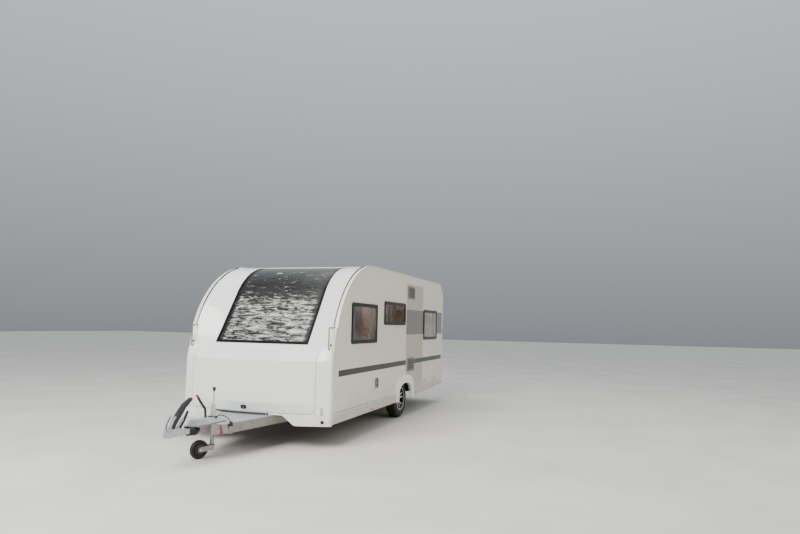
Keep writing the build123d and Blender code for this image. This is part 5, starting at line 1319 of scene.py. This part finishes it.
class CARAVAN_OT_cushions(bpy.types.Operator):
    """Seat and back cushions and the mattress, puffed by a cloth simulation"""

    bl_idname = "caravan.cushions"
    bl_label = "Cushions"

    def execute(self, context):
        for name, limits in CUSHIONS:
            x0, x1, y0, y1, z0, z1 = limits
            foot = ((x0 + x1) / 2, (y0 + y1) / 2, z0 + PAD_INSET * 0.5)
            size = (x1 - x0 - 2 * PAD_INSET, y1 - y0 - 2 * PAD_INSET)
            shape = Shape().plate(*size, 0.035, foot, Z, z1 - z0 - 1.5 * PAD_INSET, PAD_INSET)
            pad = shape.piece(f"{name}_pad", "cloth", smooth=0)
            self.puff(context.scene, pad, limits)
            pad.data.polygons.foreach_set("use_smooth", [True] * len(pad.data.polygons))
            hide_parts("upholstery")
        return {"FINISHED"}

    def puff(self, scene, pad, limits):
        """Remeshes one pad, lets air press it out, and keeps it in its room."""
        grid = pad.modifiers.new("grid", "REMESH")
        grid.mode = "VOXEL"
        grid.voxel_size = 0.024 if pad.name.startswith("mattress") else 0.014
        self.bake(pad)
        start = [v.co.copy() for v in pad.data.vertices]
        cloth = pad.modifiers.new("cloth", "CLOTH")
        cloth.settings.use_pressure = True
        cloth.settings.uniform_pressure_force = 4.0
        cloth.settings.quality = 4
        cloth.settings.mass = 0.3
        cloth.settings.effector_weights.gravity = 0.0
        cloth.point_cache.frame_start, cloth.point_cache.frame_end = 1, PAD_FRAMES
        for number in range(1, PAD_FRAMES + 1):
            scene.frame_set(number)
        self.bake(pad)
        scene.frame_set(1)
        for vertex, first in zip(pad.data.vertices, start):
            move = vertex.co - first
            if move.length > PAD_REACH:
                move = move.normalized() * PAD_REACH
            room = zip(first + move, limits[::2], limits[1::2])
            vertex.co = [min(max(value, low), high) for value, low, high in room]

    def bake(self, pad):
        """Puts the modifiers' result into the mesh."""
        old = pad.data
        pad.data = plain_mesh(pad)
        bpy.data.meshes.remove(old)


class CARAVAN_OT_fittings(bpy.types.Operator):
    """Worktop, table, cupboard fronts and their pulls, seen through the panes"""

    bl_idname = "caravan.fittings"
    bl_label = "Inner fittings"

    def execute(self, context):
        top = Shape().plate(1.24, 0.53, 0.01, (-0.525, 0.85, 1.3305), Z, 0.022, 0.003)
        top.piece("worktop", "plate")
        table = Shape().plate(0.72, 0.62, 0.06, (1.15, 0.0, 1.11), Z, 0.024, 0.005)
        table.bar([(1.15, 0, 0.461), (1.15, 0, 1.112)], 0.03, 20)
        table.slab(circle(0.15, 32), at((1.15, 0, 0.4602), Z), 0.01, 0.003)
        table.piece("lounge_table", "wood")
        fronts, pulls, shelf = Shape(), Shape(), Shape()
        for first, side in ((-1.03, 1), (-1.97, -1)):
            for x in (first + 0.27 * i for i in range(6)):
                fronts.plate(0.255, 0.36, 0.01, (x, side * 0.7995, 2.28), -Y * side, 0.012, 0.003)
                pulls.plate(0.07, 0.012, 0.005, (x, side * 0.7875, 2.13), -Y * side, 0.012, 0.003)
        for x in (-0.99, -0.68, -0.37, -0.06):
            fronts.plate(0.29, 0.76, 0.01, (x, 0.5995, 0.9), -Y, 0.012, 0.003)
            pulls.plate(0.012, 0.09, 0.005, (x + 0.11, 0.5875, 1.18), -Y, 0.012, 0.003)
        shelf.plate(0.3, 0.105, 0.01, (0.9, -0.78, 1.923), X, 0.02, 0.003)
        shelf.plate(0.26, 0.075, 0.01, (0.9, 0.125, 2.308), X, 0.02, 0.003)
        shelf.piece("front_shelf_edges", "tan")
        fronts.piece("cupboard_fronts", "white")
        pulls.piece("cupboard_pulls", "bright")
        return {"FINISHED"}


# The camera and the cord come first.
OPERATORS = [
    CARAVAN_OT_stage,
    CARAVAN_OT_tow_cable,
    CARAVAN_OT_finishes,
    CARAVAN_OT_tyres,
    CARAVAN_OT_wheel_trim,
    CARAVAN_OT_seals,
    CARAVAN_OT_window_gear,
    CARAVAN_OT_front_trim,
    CARAVAN_OT_rail_lines,
    CARAVAN_OT_screws,
    CARAVAN_OT_roof_trim,
    CARAVAN_OT_vents,
    CARAVAN_OT_locks,
    CARAVAN_OT_rear_trim,
    CARAVAN_OT_hitch_trim,
    CARAVAN_OT_caster_trim,
    CARAVAN_OT_curtains,
    CARAVAN_OT_cushions,
    CARAVAN_OT_fittings,
]


class CARAVAN_PT_sidebar(bpy.types.Panel):
    """Lists the groups of pieces"""

    bl_idname = "CARAVAN_PT_sidebar"
    bl_label = "Travel caravan"
    bl_space_type = "VIEW_3D"
    bl_region_type = "UI"
    bl_category = "Caravan"

    def draw(self, context):
        for group in (context.scene.caravan_sizes, context.scene.caravan_colours):
            box = self.layout.box()
            for name in group.__annotations__:
                box.prop(group, name)
        for operator in OPERATORS:
            self.layout.operator(operator.bl_idname)


CLASSES = [CaravanSizes, CaravanColours, *OPERATORS, CARAVAN_PT_sidebar]


def register():
    """Adds the classes and the scene's own sizes and colours."""
    for made in CLASSES:
        bpy.utils.register_class(made)
    bpy.types.Scene.caravan_sizes = PointerProperty(type=CaravanSizes)
    bpy.types.Scene.caravan_colours = PointerProperty(type=CaravanColours)


def unregister():
    """Takes them away again."""
    del bpy.types.Scene.caravan_colours
    del bpy.types.Scene.caravan_sizes
    for made in reversed(CLASSES):
        bpy.utils.unregister_class(made)


def main():
    """Dresses the caravan."""
    register()
    prepare_finishes()
    for operator in OPERATORS:
        getattr(bpy.ops.caravan, operator.bl_idname.split(".")[1])()


if __name__ == "__main__":
    main()
